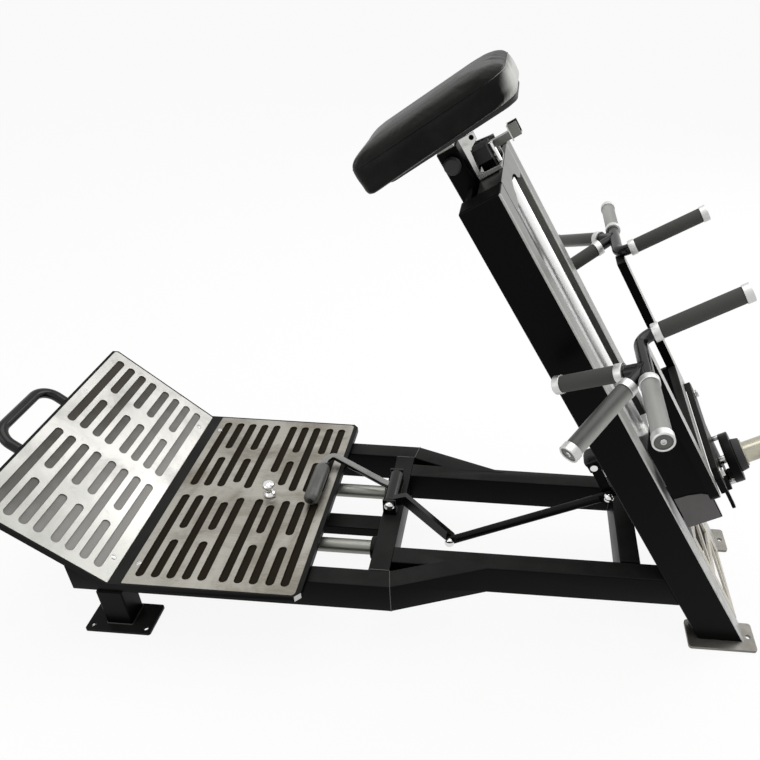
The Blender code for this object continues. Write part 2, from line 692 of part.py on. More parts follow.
def build_platform_pin(platform, pin, finishes):
    """Chrome barrel on the deck and the pin with its round knob."""
    bore = PIN_R + 0.0006
    barrel = [(bore, DECK_Z + GAP), (0.014, DECK_Z + GAP), (0.014, DECK_Z + 0.004), (0.0095, DECK_Z + 0.018),
              (bore, DECK_Z + 0.018)]
    bm = bmesh.new()
    turned(bm, barrel, (PIN_X, 0.0, 0.0), (0.0, 0.0, 1.0), 16, closed=True)
    finish("pin_barrel", bm, platform, finishes["chrome"], smooth=True)

    start = DECK_Z + 0.019
    tip = BEAM_Z[1] + 0.0005 - start
    knob = [(0.0, tip), (PIN_R - 0.001, tip), (PIN_R, tip + 0.002), (PIN_R, 0.0), (0.0085, 0.0005),
            (0.0065, 0.006)]
    ball = 0.0115
    knob += [(ball * sin(a), 0.0155 - ball * cos(a)) for a in [pi * (0.24 + 0.76 * k / 6) for k in range(6)]]
    knob.append((0.0, 0.0155 + ball))
    bm = bmesh.new()
    turned(bm, knob, (0.0, 0.0, 0.0), (0.0, 0.0, 1.0), 14)
    finish("platform_pin", bm, pin, finishes["chrome"], smooth=True)


def build_carriage(carriage, finishes):
    """Sliding frame on the guide rod: side plates, arms, web, crossbar and bearing housing."""
    black = finishes["frame_black"]
    top = HANDLE_S - BAR_R - GAP
    inner = SIDE_Y[0] + 0.5 * (SIDE_Y[1] - SIDE_Y[0])
    bm = bmesh.new()
    prism(bm, rounded(ARM_T, (SIDE_S[1] - 0.050, SIDE_S[1]), 0.003, 2), -inner, inner, "y")
    frame = finish("carriage_frame", bm, carriage, black)
    for side, label in ((-1.0, "near"), (1.0, "far")):
        low, high = sorted((side * ARM_Y[0], side * ARM_Y[1]))
        half = 0.49 * (high - low)
        arm = bmesh.new()
        outline = rounded((low, high), (ARM_LOW, top), [half, half, 0.002, 0.002], 5)
        prism(arm, outline, ARM_T[0] - WELD, ARM_T[1] - WELD, "x")
        join(frame, f"arm_{label}", arm, carriage)
        low, high = sorted((side * SIDE_Y[0], side * SIDE_Y[1]))
        plate = bmesh.new()
        outline = rounded((SIDE_T[0], ARM_T[0] + 0.002), SIDE_S, [0.010, 0.002, 0.006, 0.010], 3)
        prism(plate, outline, low + WELD, high - WELD, "y")
        join(frame, f"side_plate_{label}", plate, carriage)
    web = bmesh.new()
    web_t = (SIDE_T[0] + WELD, SIDE_T[0] + WELD + WEB_T)
    block(web, web_t, (-inner, inner), (SIDE_S[0] + 0.020, SIDE_S[1] - 0.015))
    join(frame, "carriage_web", web, carriage)

    bm = bmesh.new()
    block(bm, BEARING_T, (-BEARING_HALF, BEARING_HALF), BEARING_S)
    house = finish("carriage_bearing", bm, carriage, finishes["aluminium"], bevel=0.002)
    bore = bmesh.new()
    turned(bore, disc(ROD_R + RUN, BEARING_S[0] - 0.02, BEARING_S[1] + 0.02), (ROD_T, 0.0, 0.0), (0.0, 0.0, 1.0))
    cut(house, "carriage_bore_cutter", bore, carriage)
    build_horn(carriage, finishes)


def build_horn(carriage, finishes):
    """Horn plate, flange with its studs, bumper, loading sleeve, lower knob and hanger bar."""
    black = finishes["frame_black"]
    wide = SIDE_Y[1] - 0.001
    tongue = 0.052
    top = SIDE_S[1] - 0.055
    low = 0.490
    foot = HORN_S - 0.059
    outline = [(-wide, low), (-tongue - 0.012, low), (-tongue, low - 0.012), (-tongue, foot + 0.012),
               (-tongue + 0.012, foot), (tongue - 0.012, foot), (tongue, foot + 0.012), (tongue, low - 0.012),
               (tongue + 0.012, low), (wide, low), (wide, top - 0.018), (wide - 0.018, top),
               (-wide + 0.018, top), (-wide, top - 0.018)]
    bm = bmesh.new()
    prism(bm, outline, HORN_PLATE_T[0], HORN_PLATE_T[1], "x")
    finish("horn_plate", bm, carriage, black, bevel=0.0012)

    face = HORN_PLATE_T[1] + GAP
    flange = 0.135
    axis = (1.0, 0.0, 0.0)
    centre = (0.0, 0.0, HORN_S)
    bm = bmesh.new()
    turned(bm, disc(0.060, flange, 0.157, 0.002), centre, axis, 24)
    plate = finish("horn_flange", bm, carriage, black, smooth=True)
    studs = bmesh.new()
    for y in (-0.038, 0.038):
        for s in (HORN_S - 0.038, HORN_S + 0.038):
            turned(studs, disc(0.006, face, flange + 0.003), (0.0, y, s), axis, 8)
    join(plate, "horn_studs", studs, carriage)

    sleeve = [(0.0, 0.1753), (0.0308, 0.1753), (0.0315, 0.176), (0.0315, 0.1776), (0.0308, 0.1783),
              (SLEEVE_R, 0.1783), (SLEEVE_R, SLEEVE_END - 0.0075), (SLEEVE_R - 0.0015, SLEEVE_END - 0.006),
              (0.0, SLEEVE_END - 0.006)]
    stack = (("horn_bumper", [(0.0, 0.1573), (0.040, 0.1573), (0.0365, 0.175), (0.0, 0.175)], "black_rubber"),
             ("loading_sleeve", sleeve, "chrome"),
             ("sleeve_end_cap", disc(SLEEVE_R - 0.001, SLEEVE_END - 0.0057, SLEEVE_END, 0.002), "black_plastic"))
    for name, profile, slot in stack:
        bm = bmesh.new()
        turned(bm, profile, centre, axis, 22)
        finish(name, bm, carriage, finishes[slot], smooth=True)

    bm = bmesh.new()
    turned(bm, disc(0.017, face, face + 0.0115, 0.002), (0.0, 0.0, HORN_S - 0.052), axis, 16)
    finish("horn_lower_knob", bm, carriage, finishes["black_plastic"], smooth=True)

    bm = bmesh.new()
    nub = circle(0.010, 16, (0.0, 0.278), 0.5 * pi + 0.65)[:13]
    prism(bm, [(0.006, 0.463), (-0.006, 0.463)] + nub, 0.0985, HORN_PLATE_T[0] - GAP, "x")
    finish("hanger_bar", bm, carriage, black, bevel=0.001)


def build_handles(carriage, finishes):
    """Bent handle bars with their welded branches, and the grips with their end collars."""
    inner = BAR_R + 0.0008
    tip = 0.006
    for side, label in ((-1.0, "near"), (1.0, "far")):
        path = [(GRIPS["front"][1][0] - tip, side * HANDLE_Y, HANDLE_S), (HANDLE_T, side * HANDLE_Y, HANDLE_S),
                (HANDLE_T, side * (GRIPS["side"][1][1] - tip), HANDLE_S)]
        bm = bmesh.new()
        sweep(bm, circle(BAR_R, 14), fillet(path, 0.026, 4))
        bar = finish(f"handle_bar_{label}", bm, carriage, finishes["frame_black"], smooth=True)
        for place, ((t_in, y_in), (t_out, y_out)) in GRIPS.items():
            start = Vector((t_in, side * y_in, HANDLE_S))
            end = Vector((t_out, side * y_out, HANDLE_S))
            way = (end - start).normalized()
            length = (end - start).length
            if place in ("inner", "outer"):
                branch = bmesh.new()
                origin = start + way * ((HANDLE_T - t_in) / way.x)
                sweep(branch, circle(BAR_R - 0.0004, 14), [origin, end - way * tip])
                join(bar, f"{place}_branch_{label}", branch, carriage)
            shape = [(inner, 0.0), (COLLAR_R, 0.0), (COLLAR_R, COLLAR_L), (GRIP_R, COLLAR_L),
                     (GRIP_R, length - COLLAR_L), (COLLAR_R, length - COLLAR_L), (COLLAR_R, length),
                     (0.0, length), (0.0, length - tip + GAP), (inner, length - tip + GAP)]
            bm = bmesh.new()
            turned(bm, shape, start, way, 16, closed=True)
            finish(f"{place}_grip_{label}", bm, carriage, finishes["grip_rubber"], smooth=True)


def cushion_outline(shrink):
    """Outline of the cushion in plan, drawn in by an even amount, with its two ends' own corner radii."""
    left = 0.034 - shrink
    right = 0.050 - shrink
    x = (PAD_SPAN[0] + shrink, PAD_SPAN[1] - shrink)
    y = (-PAD_HALF + shrink, PAD_HALF - shrink)
    return rounded(x, y, [max(left, 0.004), max(right, 0.004), max(right, 0.004), max(left, 0.004)], 6)


def build_cushion(bm):
    """Padded body: drawn-in foot, full sides with a seam groove, soft shoulder and crowned top."""
    rows = [(0.010, 0.0), (0.0045, 0.0015), (0.0012, 0.007), (0.0, 0.018), (0.0, 0.034), (0.0006, 0.0442),
            (0.0024, 0.0453), (0.0010, 0.0464), (0.0022, 0.0502), (0.0065, 0.0532), (0.016, 0.0554),
            (0.034, 0.0576), (0.060, 0.0592), (0.088, 0.0600)]
    rings = []
    for shrink, lift in rows:
        rings.append([bm.verts.new((x, y, lift)) for x, y in cushion_outline(shrink)])
    for one, two in zip(rings, rings[1:]):
        for a, b, c, d in zip(one, one[1:] + one[:1], two[1:] + two[:1], two):
            bm.faces.new((a, b, c, d))
    bm.faces.new(rings[0][::-1])
    bm.faces.new(rings[-1])


def build_chest(mast, chest, finishes):
    """Fixed sleeve in the mast, and the sliding post with its board and cushion."""
    black = finishes["frame_black"]
    wall = SUPPORT_WALL
    bm = bmesh.new()
    prism(bm, rounded(SUPPORT_T, (-SUPPORT_HALF, SUPPORT_HALF), 0.004, 2), SUPPORT_S[0], SUPPORT_S[1], "z")
    sleeve = finish("chest_post_sleeve", bm, mast, black)
    inside = (SUPPORT_T[0] + wall, SUPPORT_T[1] - wall)
    half = SUPPORT_HALF - wall
    hollow = bmesh.new()
    prism(hollow, rounded(inside, (-half, half), 0.003, 2), SUPPORT_S[0] - 0.01, SUPPORT_S[1] + 0.01, "z")
    ties = bmesh.new()
    for side in (-1.0, 1.0):
        low, high = sorted((side * (SUPPORT_HALF - 0.5 * wall), side * (POST_Y[0] - GAP)))
        for start in (SUPPORT_S[0] + 0.006, MAST_H - 0.042):
            block(ties, (-0.078, -0.066), (low, high), (start, start + 0.036))
    join(sleeve, "sleeve_ties", ties, mast)
    cut(sleeve, "sleeve_hollow_cutter", hollow, mast)
    middle = 0.5 * (SUPPORT_T[0] + SUPPORT_T[1])
    way = bmesh.new()
    turned(way, disc(0.0053, -SUPPORT_HALF - 0.01, -SUPPORT_HALF + wall + 0.002), (middle, 0.0, PAD_PIN_S),
           (0.0, 1.0, 0.0), 14)
    cut(sleeve, "sleeve_pin_cutter", way, mast)

    slim = GAP
    inside = (inside[0] + slim, inside[1] - slim)
    half -= slim
    bm = bmesh.new()
    deep = 0.5 * (inside[1] - inside[0])
    top = PAD_S - (BOARD_T + 2.0 * GAP) / cos(PAD_TILT)
    sweep(bm, rounded((-half, half), (-deep, deep), 0.003, 2),
          [(middle, 0.0, SUPPORT_S[0] + 0.010), (middle, 0.0, top)],
          end_cut=(-sin(PAD_TILT), 0.0, cos(PAD_TILT)), up=(1.0, 0.0, 0.0))
    post = finish("chest_post", bm, chest, finishes["satin_steel"])
    holes = bmesh.new()
    for step in range(5):
        turned(holes, disc(0.0053, -SUPPORT_HALF - 0.01, -half + 0.012),
               (middle, 0.0, PAD_PIN_S - 0.025 * step), (0.0, 1.0, 0.0), 14)
    cut(post, "post_hole_cutter", holes, chest)

    seat = empty("pad_datum", chest, (middle, 0.0, PAD_S), -PAD_TILT)
    bm = bmesh.new()
    outline = rounded((PAD_SPAN[0] + 0.034, PAD_SPAN[1] - 0.010), (-PAD_HALF + 0.026, PAD_HALF - 0.026),
                      [0.020, 0.030, 0.030, 0.020], 5)
    prism(bm, outline, -BOARD_T - GAP, -GAP, "z")
    finish("chest_board", bm, seat, finishes["black_plastic"], bevel=0.001)

    bm = bmesh.new()
    build_cushion(bm)
    finish("chest_pad", bm, seat, finishes["pad_vinyl"], smooth=True)


def build_chest_pin(pin, finishes):
    """Pull pin of the chest post with its round knob."""
    tip = GAP - SUPPORT_WALL
    profile = [(0.0, tip), (0.0035, tip), (0.005, tip + 0.0015), (0.005, GAP + 0.001), (0.008, GAP + 0.001),
               (0.008, 0.006), (0.0145, 0.0075), (0.016, 0.0095), (0.016, 0.0175), (0.0135, 0.0205), (0.0, 0.0215)]
    bm = bmesh.new()
    turned(bm, profile, (0.0, 0.0, 0.0), (0.0, -1.0, 0.0), 16)
    finish("chest_pin", bm, pin, finishes["black_plastic"], smooth=True)


def link_place(x, z, origin):
    """Point of a linkage piece seen from its pivot."""
    return x - origin[0], z - origin[1]


def build_pedal(root, pedal, roller, finishes):
    """Bracket and axle on the cross tube, cranked lever, its roller and the joint bolt."""
    black = finishes["frame_black"]
    low = BASE_TOP + GAP
    wall = 0.006
    near = HUB_Y[0] - GAP - wall
    far = HUB_Y[1] + GAP + wall
    top = HUB[1] + 0.017
    x_span = (CROSS_X[0] + 0.003, HUB[0] + 0.017)
    bm = bmesh.new()
    outline = [(near, low), (far, low), (far, top), (far - wall, top), (far - wall, low + wall),
               (near + wall, low + wall), (near + wall, top), (near, top)]
    prism(bm, outline, x_span[0], x_span[1], "x")
    bracket = finish("pedal_bracket", bm, root, black, bevel=0.001)
    bore = bmesh.new()
    turned(bore, disc(0.0083, -0.2, 0.2), (HUB[0], 0.0, HUB[1]), (0.0, 1.0, 0.0), 16)
    cut(bracket, "bracket_bore_cutter", bore, root)

    bm = bmesh.new()
    axle = [(0.0, near - 0.010), (0.011, near - 0.009), (0.013, near - 0.006), (0.013, near - GAP),
            (0.008, near - GAP), (0.008, far + GAP), (0.013, far + GAP), (0.013, far + 0.006),
            (0.011, far + 0.009), (0.0, far + 0.009)]
    turned(bm, axle, (HUB[0], 0.0, HUB[1]), (0.0, 1.0, 0.0), 16)
    finish("pedal_axle", bm, root, finishes["chrome"], smooth=True)

    bm = bmesh.new()
    turned(bm, disc(HUB_R, HUB_Y[0], HUB_Y[1]), (0.0, 0.0, 0.0), (0.0, 1.0, 0.0), 16)
    lever = finish("pedal_lever", bm, pedal, black)
    crank = bmesh.new()
    line = [link_place(HUB[0], HUB[1] + 0.002, HUB), link_place(0.117, 0.249, HUB), link_place(*JOINT_B, HUB)]
    prism(crank, strip(line, 0.012), LINK_Y[0], LINK_Y[1], "y")
    cut(lever, "crank_joiner", crank, pedal, "UNION")
    rise = ROLLER_Z - HUB[1]
    line = [(0.0, 0.040, 0.004), (-0.030, 0.052, rise), (-0.183, 0.148, rise), (ROLLER_X - HUB[0], 0.120, rise),
            (ROLLER_X - HUB[0], 0.106, rise)]
    arm = bmesh.new()
    sweep(arm, rail_section(0.0065, 0.0065, 0.002, 1), fillet(line, 0.012, 3))
    cut(lever, "arm_joiner", arm, pedal, "UNION")
    stub = bmesh.new()
    turned(stub, disc(0.006, ROLLER_Y[0] - 0.004, 0.112), (ROLLER_X - HUB[0], 0.0, rise), (0.0, 1.0, 0.0), 14)
    cut(lever, "stub_joiner", stub, pedal, "UNION")
    bores = bmesh.new()
    turned(bores, disc(0.0083, -0.05, 0.15), (0.0, 0.0, 0.0), (0.0, 1.0, 0.0), 16)
    cut(lever, "pedal_bore_cutter", bores, pedal)

    bm = bmesh.new()
    inner = 0.0063
    low, high = ROLLER_Y
    shape = [(inner, low), (0.010, low), (0.0155, low + 0.0035), (ROLLER_R, low + 0.011),
             (ROLLER_R, high - 0.011), (0.0155, high - 0.0035), (0.010, high), (inner, high)]
    turned(bm, shape, (0.0, 0.0, 0.0), (0.0, 1.0, 0.0), 16, closed=True)
    finish("pedal_roller", bm, roller, finishes["grip_rubber"], smooth=True)

    bx, bz = link_place(*JOINT_B, HUB)
    bolt = bmesh.new()
    turned(bolt, link_bolt(), (bx, 0.0, bz), (0.0, 1.0, 0.0), 12)
    join(lever, "crank_bolt", bolt, pedal)


def link_bolt():
    """Profile of a bolt through a link and the rod's eye, with a domed head and a nut."""
    head = EYE_Y[0] - GAP
    nut = LINK_Y[1] - 0.001
    return [(0.0, head - 0.009), (0.006, head - 0.0075), (0.0092, head - 0.003), (0.0092, head), (0.005, head),
            (0.005, nut), (0.0085, nut), (0.0085, nut + 0.006), (0.0, nut + 0.006)]


def build_push_rod(rod, finishes):
    """Round rod with a flat eye at each end."""
    start = Vector((0.0, 0.0, 0.0))
    end = Vector((JOINT_C[0] - JOINT_B[0], 0.0, JOINT_C[1] - JOINT_B[1]))
    way = end.normalized()
    middle = 0.5 * (EYE_Y[0] + EYE_Y[1])
    across = Vector((0.0, middle, 0.0))
    bm = bmesh.new()
    sweep(bm, circle(0.011, 14), [start + way * 0.022 + across, end - way * 0.022 + across])
    body = finish("push_rod", bm, rod, finishes["frame_black"])
    for label, place, sign in (("low", start, 1.0), ("high", end, -1.0)):
        far = place + way * (0.036 * sign)
        eye = bmesh.new()
        outline = strip([(place.x, place.z), (far.x, far.z)], 0.0105)
        prism(eye, outline, EYE_Y[0], EYE_Y[1], "y")
        cut(body, f"eye_{label}_joiner", eye, rod, "UNION")
    holes = bmesh.new()
    turned(holes, disc(0.0053, -0.05, 0.02), start, (0.0, 1.0, 0.0), 14)
    turned(holes, disc(0.0068, -0.05, 0.02), end, (0.0, 1.0, 0.0), 14)
    cut(body, "eye_hole_cutter", holes, rod)


def build_latch(mast, latch, finishes):
    """Forked bracket behind the mast with its axle, the latch lever and its round roller."""
    black = finishes["frame_black"]
    inner = POST_Y[0] - GAP
    near, far = FORK_Y
    wall = 0.006
    back = LATCH_BAR_T[0]
    end = LATCH_T - 0.014
    bm = bmesh.new()
    block(bm, LATCH_BAR_T, (-inner, inner), (LATCH_S - 0.040, LATCH_S + 0.016))
    bracket = finish("latch_bracket", bm, mast, black, bevel=0.0015)
    outline = [(near, end), (near + wall, end), (near + wall, back - wall), (far - wall, back - wall),
               (far - wall, end), (far, end), (far, back + 0.002), (near, back + 0.002)]
    fork = bmesh.new()
    prism(fork, [(t, y) for y, t in outline], LATCH_S - 0.014, LATCH_S + 0.014, "z")
    join(bracket, "latch_fork", fork, mast)
    bore = bmesh.new()
    turned(bore, disc(0.0063, -0.1, 0.1), (LATCH_T, 0.0, LATCH_S), (0.0, 1.0, 0.0), 16)
    cut(bracket, "latch_bore_cutter", bore, mast)

    bm = bmesh.new()
    pin = [(0.0, near - 0.006), (0.009, near - 0.0055), (0.009, near - GAP), (0.006, near - GAP),
           (0.006, far + GAP), (0.009, far + GAP), (0.009, far + 0.0055), (0.0, far + 0.006)]
    turned(bm, pin, (LATCH_T, 0.0, LATCH_S), (0.0, 1.0, 0.0), 16)
    finish("latch_axle", bm, mast, finishes["chrome"], smooth=True)

    ct, cs = mast_axes(*JOINT_C)
    line = [(0.0, 0.0), (ct - LATCH_T, cs - LATCH_S), (LATCH_TIP_T - LATCH_T, 0.444 - LATCH_S)]
    bm = bmesh.new()
    prism(bm, strip(line, 0.012), LINK_Y[0], LINK_Y[1], "y")
    lever = finish("latch_lever", bm, latch, black)
    bore = bmesh.new()
    turned(bore, disc(0.0063, -0.05, 0.05), (0.0, 0.0, 0.0), (0.0, 1.0, 0.0), 16)
    cut(lever, "lever_bore_cutter", bore, latch)
    bolt = bmesh.new()
    turned(bolt, link_bolt(), (ct - LATCH_T, 0.0, cs - LATCH_S), (0.0, 1.0, 0.0), 12)
    join(lever, "latch_bolt", bolt, latch)

    bm = bmesh.new()
    low = LINK_Y[1] + GAP
    turned(bm, ring(0.0063, 0.0225, low, low + 0.032, 0.004), (0.0, 0.0, 0.0), (0.0, 1.0, 0.0), 18, closed=True)
    finish("latch_roller", bm, latch, finishes["black_rubber"], smooth=True)


def centre_on_floor(root):
    """Moves the machine so that the middle of its outer box stands over the world's origin."""
    bpy.context.view_layer.update()
    pieces = [item for item in bpy.data.objects if item.type == "MESH" and not item.hide_render]
    xs = [(item.matrix_world @ vertex.co).x for item in pieces for vertex in item.data.vertices]
    root.location.x = -0.5 * (min(xs) + max(xs))
    bpy.context.view_layer.update()


def main():
    """Builds every piece of the machine."""
    for item in list(bpy.data.objects):
        bpy.data.objects.remove(item, do_unlink=True)
    looks = {
        "frame_black": ((0.012, 0.012, 0.012), 0.0, 0.42),
        "satin_steel": ((0.42, 0.40, 0.36), 1.0, 0.34),
        "chrome": ((0.72, 0.72, 0.71), 1.0, 0.12),
        "aluminium": ((0.62, 0.62, 0.60), 1.0, 0.38),
        "zinc": ((0.50, 0.50, 0.48), 1.0, 0.30),
        "grip_rubber": ((0.045, 0.044, 0.041), 0.0, 0.62),
        "black_rubber": ((0.014, 0.014, 0.014), 0.0, 0.60),
        "black_plastic": ((0.018, 0.018, 0.018), 0.0, 0.45),
        "pad_vinyl": ((0.018, 0.018, 0.018), 0.0, 0.48),
    }
    finishes = {name: make_material(name, *look) for name, look in looks.items()}
    root = empty("machine_datum", None)
    mast = empty("mast_datum", root, (MAST_X, 0.0, 0.0), -LEAN)
    build_base(root, finishes)
    build_slide(root, finishes)
    build_mast(root, mast, finishes)
    build_mast_top(mast, finishes)
    platform = empty("platform_datum", root)
    build_platform(platform, finishes)
    pin = empty("platform_pin_datum", platform, (PIN_X, 0.0, DECK_Z + 0.019))
    build_platform_pin(platform, pin, finishes)
    carriage = empty("carriage_datum", mast)
    build_carriage(carriage, finishes)
    build_handles(carriage, finishes)
    chest = empty("chest_datum", mast)
    build_chest(mast, chest, finishes)
    middle = 0.5 * (SUPPORT_T[0] + SUPPORT_T[1])
    build_chest_pin(empty("chest_pin_datum", mast, (middle, -SUPPORT_HALF, PAD_PIN_S)), finishes)
    pedal = empty("pedal_datum", root, (HUB[0], 0.0, HUB[1]))
    roller = empty("pedal_roller_datum", pedal, (ROLLER_X - HUB[0], 0.0, ROLLER_Z - HUB[1]))
    build_pedal(root, pedal, roller, finishes)
    build_push_rod(empty("push_rod_datum", root, (JOINT_B[0], 0.0, JOINT_B[1])), finishes)
    build_latch(mast, empty("latch_datum", mast, (LATCH_T, 0.0, LATCH_S)), finishes)
    centre_on_floor(root)


main()
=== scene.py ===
"""Finished look of the plate-loaded row machine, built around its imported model.

Lengths are in metres and angles in radians. Pieces are drawn in the frame that suits them, the machine's, the
mast's, the raised panel's or a pivot's, and their meshes are then moved into the world.
"""
import logging
from abc import ABC, abstractmethod
from dataclasses import dataclass
from enum import Enum
from math import atan2, cos, pi, sin, tan
from typing import Iterable, Sequence, Union

import bmesh
import bpy
from mathutils import Matrix, Vector


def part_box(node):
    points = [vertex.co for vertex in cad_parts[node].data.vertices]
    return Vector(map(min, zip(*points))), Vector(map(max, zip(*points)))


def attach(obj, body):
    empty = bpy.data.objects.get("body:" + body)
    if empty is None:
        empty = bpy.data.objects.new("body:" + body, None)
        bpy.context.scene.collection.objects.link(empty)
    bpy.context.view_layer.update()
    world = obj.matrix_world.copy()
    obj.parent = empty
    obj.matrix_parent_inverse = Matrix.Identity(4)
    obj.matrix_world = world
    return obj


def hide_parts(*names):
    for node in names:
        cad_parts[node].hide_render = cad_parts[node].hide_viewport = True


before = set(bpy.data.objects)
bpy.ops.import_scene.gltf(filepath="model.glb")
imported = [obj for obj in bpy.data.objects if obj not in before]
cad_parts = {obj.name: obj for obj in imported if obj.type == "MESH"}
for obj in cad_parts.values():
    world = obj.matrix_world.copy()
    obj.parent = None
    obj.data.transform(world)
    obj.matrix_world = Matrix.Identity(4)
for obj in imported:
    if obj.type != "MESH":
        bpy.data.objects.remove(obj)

LOG = logging.getLogger("row_machine")
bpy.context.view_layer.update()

Pair = tuple[float, float]
Triple = tuple[float, float, float]
Colour = tuple[float, float, float]

SIDES = ((-1.0, "near"), (1.0, "far"))
X_WAY = (1.0, 0.0, 0.0)
Y_WAY = (0.0, 1.0, 0.0)
Z_WAY = (0.0, 0.0, 1.0)
ORIGIN = (0.0, 0.0, 0.0)
WHITE = (1.0, 1.0, 1.0)

# Measures that the groups share: the play between parts; the mast's lean, foot and height; the raised panel's
# slope and its fold; the radius of a handle bar; the pad's place on the mast and its tilt.
GAP = 0.0003
LEAN = 0.538
MAST_X = 0.9818
MAST_H = 1.276
SLOPE = 0.7304
FOLD = (-0.5041, 0.2188)
BAR_R = 0.0125
PAD_AT = (-0.0775, 1.3727)
PAD_TILT = 0.0558


class Across(Enum):
    """Axis along which a flat outline is pushed."""

    X = "x"
    Y = "y"
    Z = "z"

    def point(self, a: float, b: float, c: float) -> Triple:
        """Place of the outline's point (a, b) at level c."""
        return {"x": (c, a, b), "y": (a, c, b), "z": (a, b, c)}[self.value]


class Body(Enum):
    """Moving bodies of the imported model."""

    FRAME = "frame"
    PLATFORM = "platform"
    PLATFORM_PIN = "platform_pin"
    CARRIAGE = "carriage"
    CHEST = "chest"
    CHEST_PIN = "chest_pin"
    PEDAL = "pedal"
    ROLLER = "pedal_roller"
    PUSH_ROD = "push_rod"
    LATCH = "latch"


class Place:
    """Frames in which the pieces are drawn, as matrices into the world."""

    def __init__(self) -> None:
        """Finds the machine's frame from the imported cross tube."""
        self.machine = Matrix.Translation((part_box("mast_cross_tube")[0].x - 0.652, 0.0, 0.0))
        self.mast = self.machine @ Matrix.Translation((MAST_X, 0.0, 0.0)) @ Matrix.Rotation(-LEAN, 4, "Y")
        self.panel = self.machine @ Matrix.Translation((FOLD[0], 0.0,
                                                        FOLD[1])) @ Matrix.Rotation(SLOPE, 4, "Y")
        self.pad = self.mast @ Matrix.Translation((PAD_AT[0], 0.0,
                                                   PAD_AT[1])) @ Matrix.Rotation(-PAD_TILT, 4, "Y")

    def pivot(self, x: float, z: float) -> Matrix:
        """Frame of a pivot at a point of the machine's middle plane."""
        return self.machine @ Matrix.Translation((x, 0.0, z))

    @staticmethod
    def mast_point(t: float, s: float) -> Pair:
        """Machine x and z of a point t in front of the mast's face and s along it."""
        return MAST_X - sin(LEAN) * s + cos(LEAN) * t, cos(LEAN) * s + sin(LEAN) * t

    @staticmethod
    def mast_axes(x: float, z: float) -> Pair:
        """Mast t and s of a machine point."""
        return cos(LEAN) * (x - MAST_X) + sin(LEAN) * z, cos(LEAN) * z - sin(LEAN) * (x - MAST_X)


class Signal:
    """One output of a shader tree, on which expressions add Math nodes."""

    def __init__(self, graph: "ShaderGraph", socket: bpy.types.NodeSocket) -> None:
        """Keeps the socket and the tree it belongs to."""
        self.graph = graph
        self.socket = socket

    def _math(self, operation: str, first: "Value", second: "Value" = 0.0) -> "Signal":
        """Adds one Math node.

        Args:
            operation: the node's operation.
            first: first operand.
            second: second operand.

        Returns:
            The node's result.
        """
        return self.graph.node("ShaderNodeMath", {"operation": operation}, {0: first, 1: second})[0]

    def __add__(self, other: "Value") -> "Signal":
        """Sum."""
        return self._math("ADD", self, other)

    def __mul__(self, other: "Value") -> "Signal":
        """Product."""
        return self._math("MULTIPLY", self, other)

    def __sub__(self, other: "Value") -> "Signal":
        """Difference."""
        return self._math("SUBTRACT", self, other)

    def most(self, other: "Value") -> "Signal":
        """The larger of two values."""
        return self._math("MAXIMUM", self, other)

    def step(self, low: float, high: float) -> "Signal":
        """Smooth rise from 0 at low to 1 at high."""
        return self.graph.node("ShaderNodeMapRange", {"interpolation_type": "SMOOTHSTEP", "clamp": True},
                               {"Value": self, "From Min": low, "From Max": high})["Result"]

    def span(self, low: float, high: float) -> "Signal":
        """Carries 0 to 1 onto low to high."""
        return self * (high - low) + low


Value = Union[Signal, float, tuple, Vector]


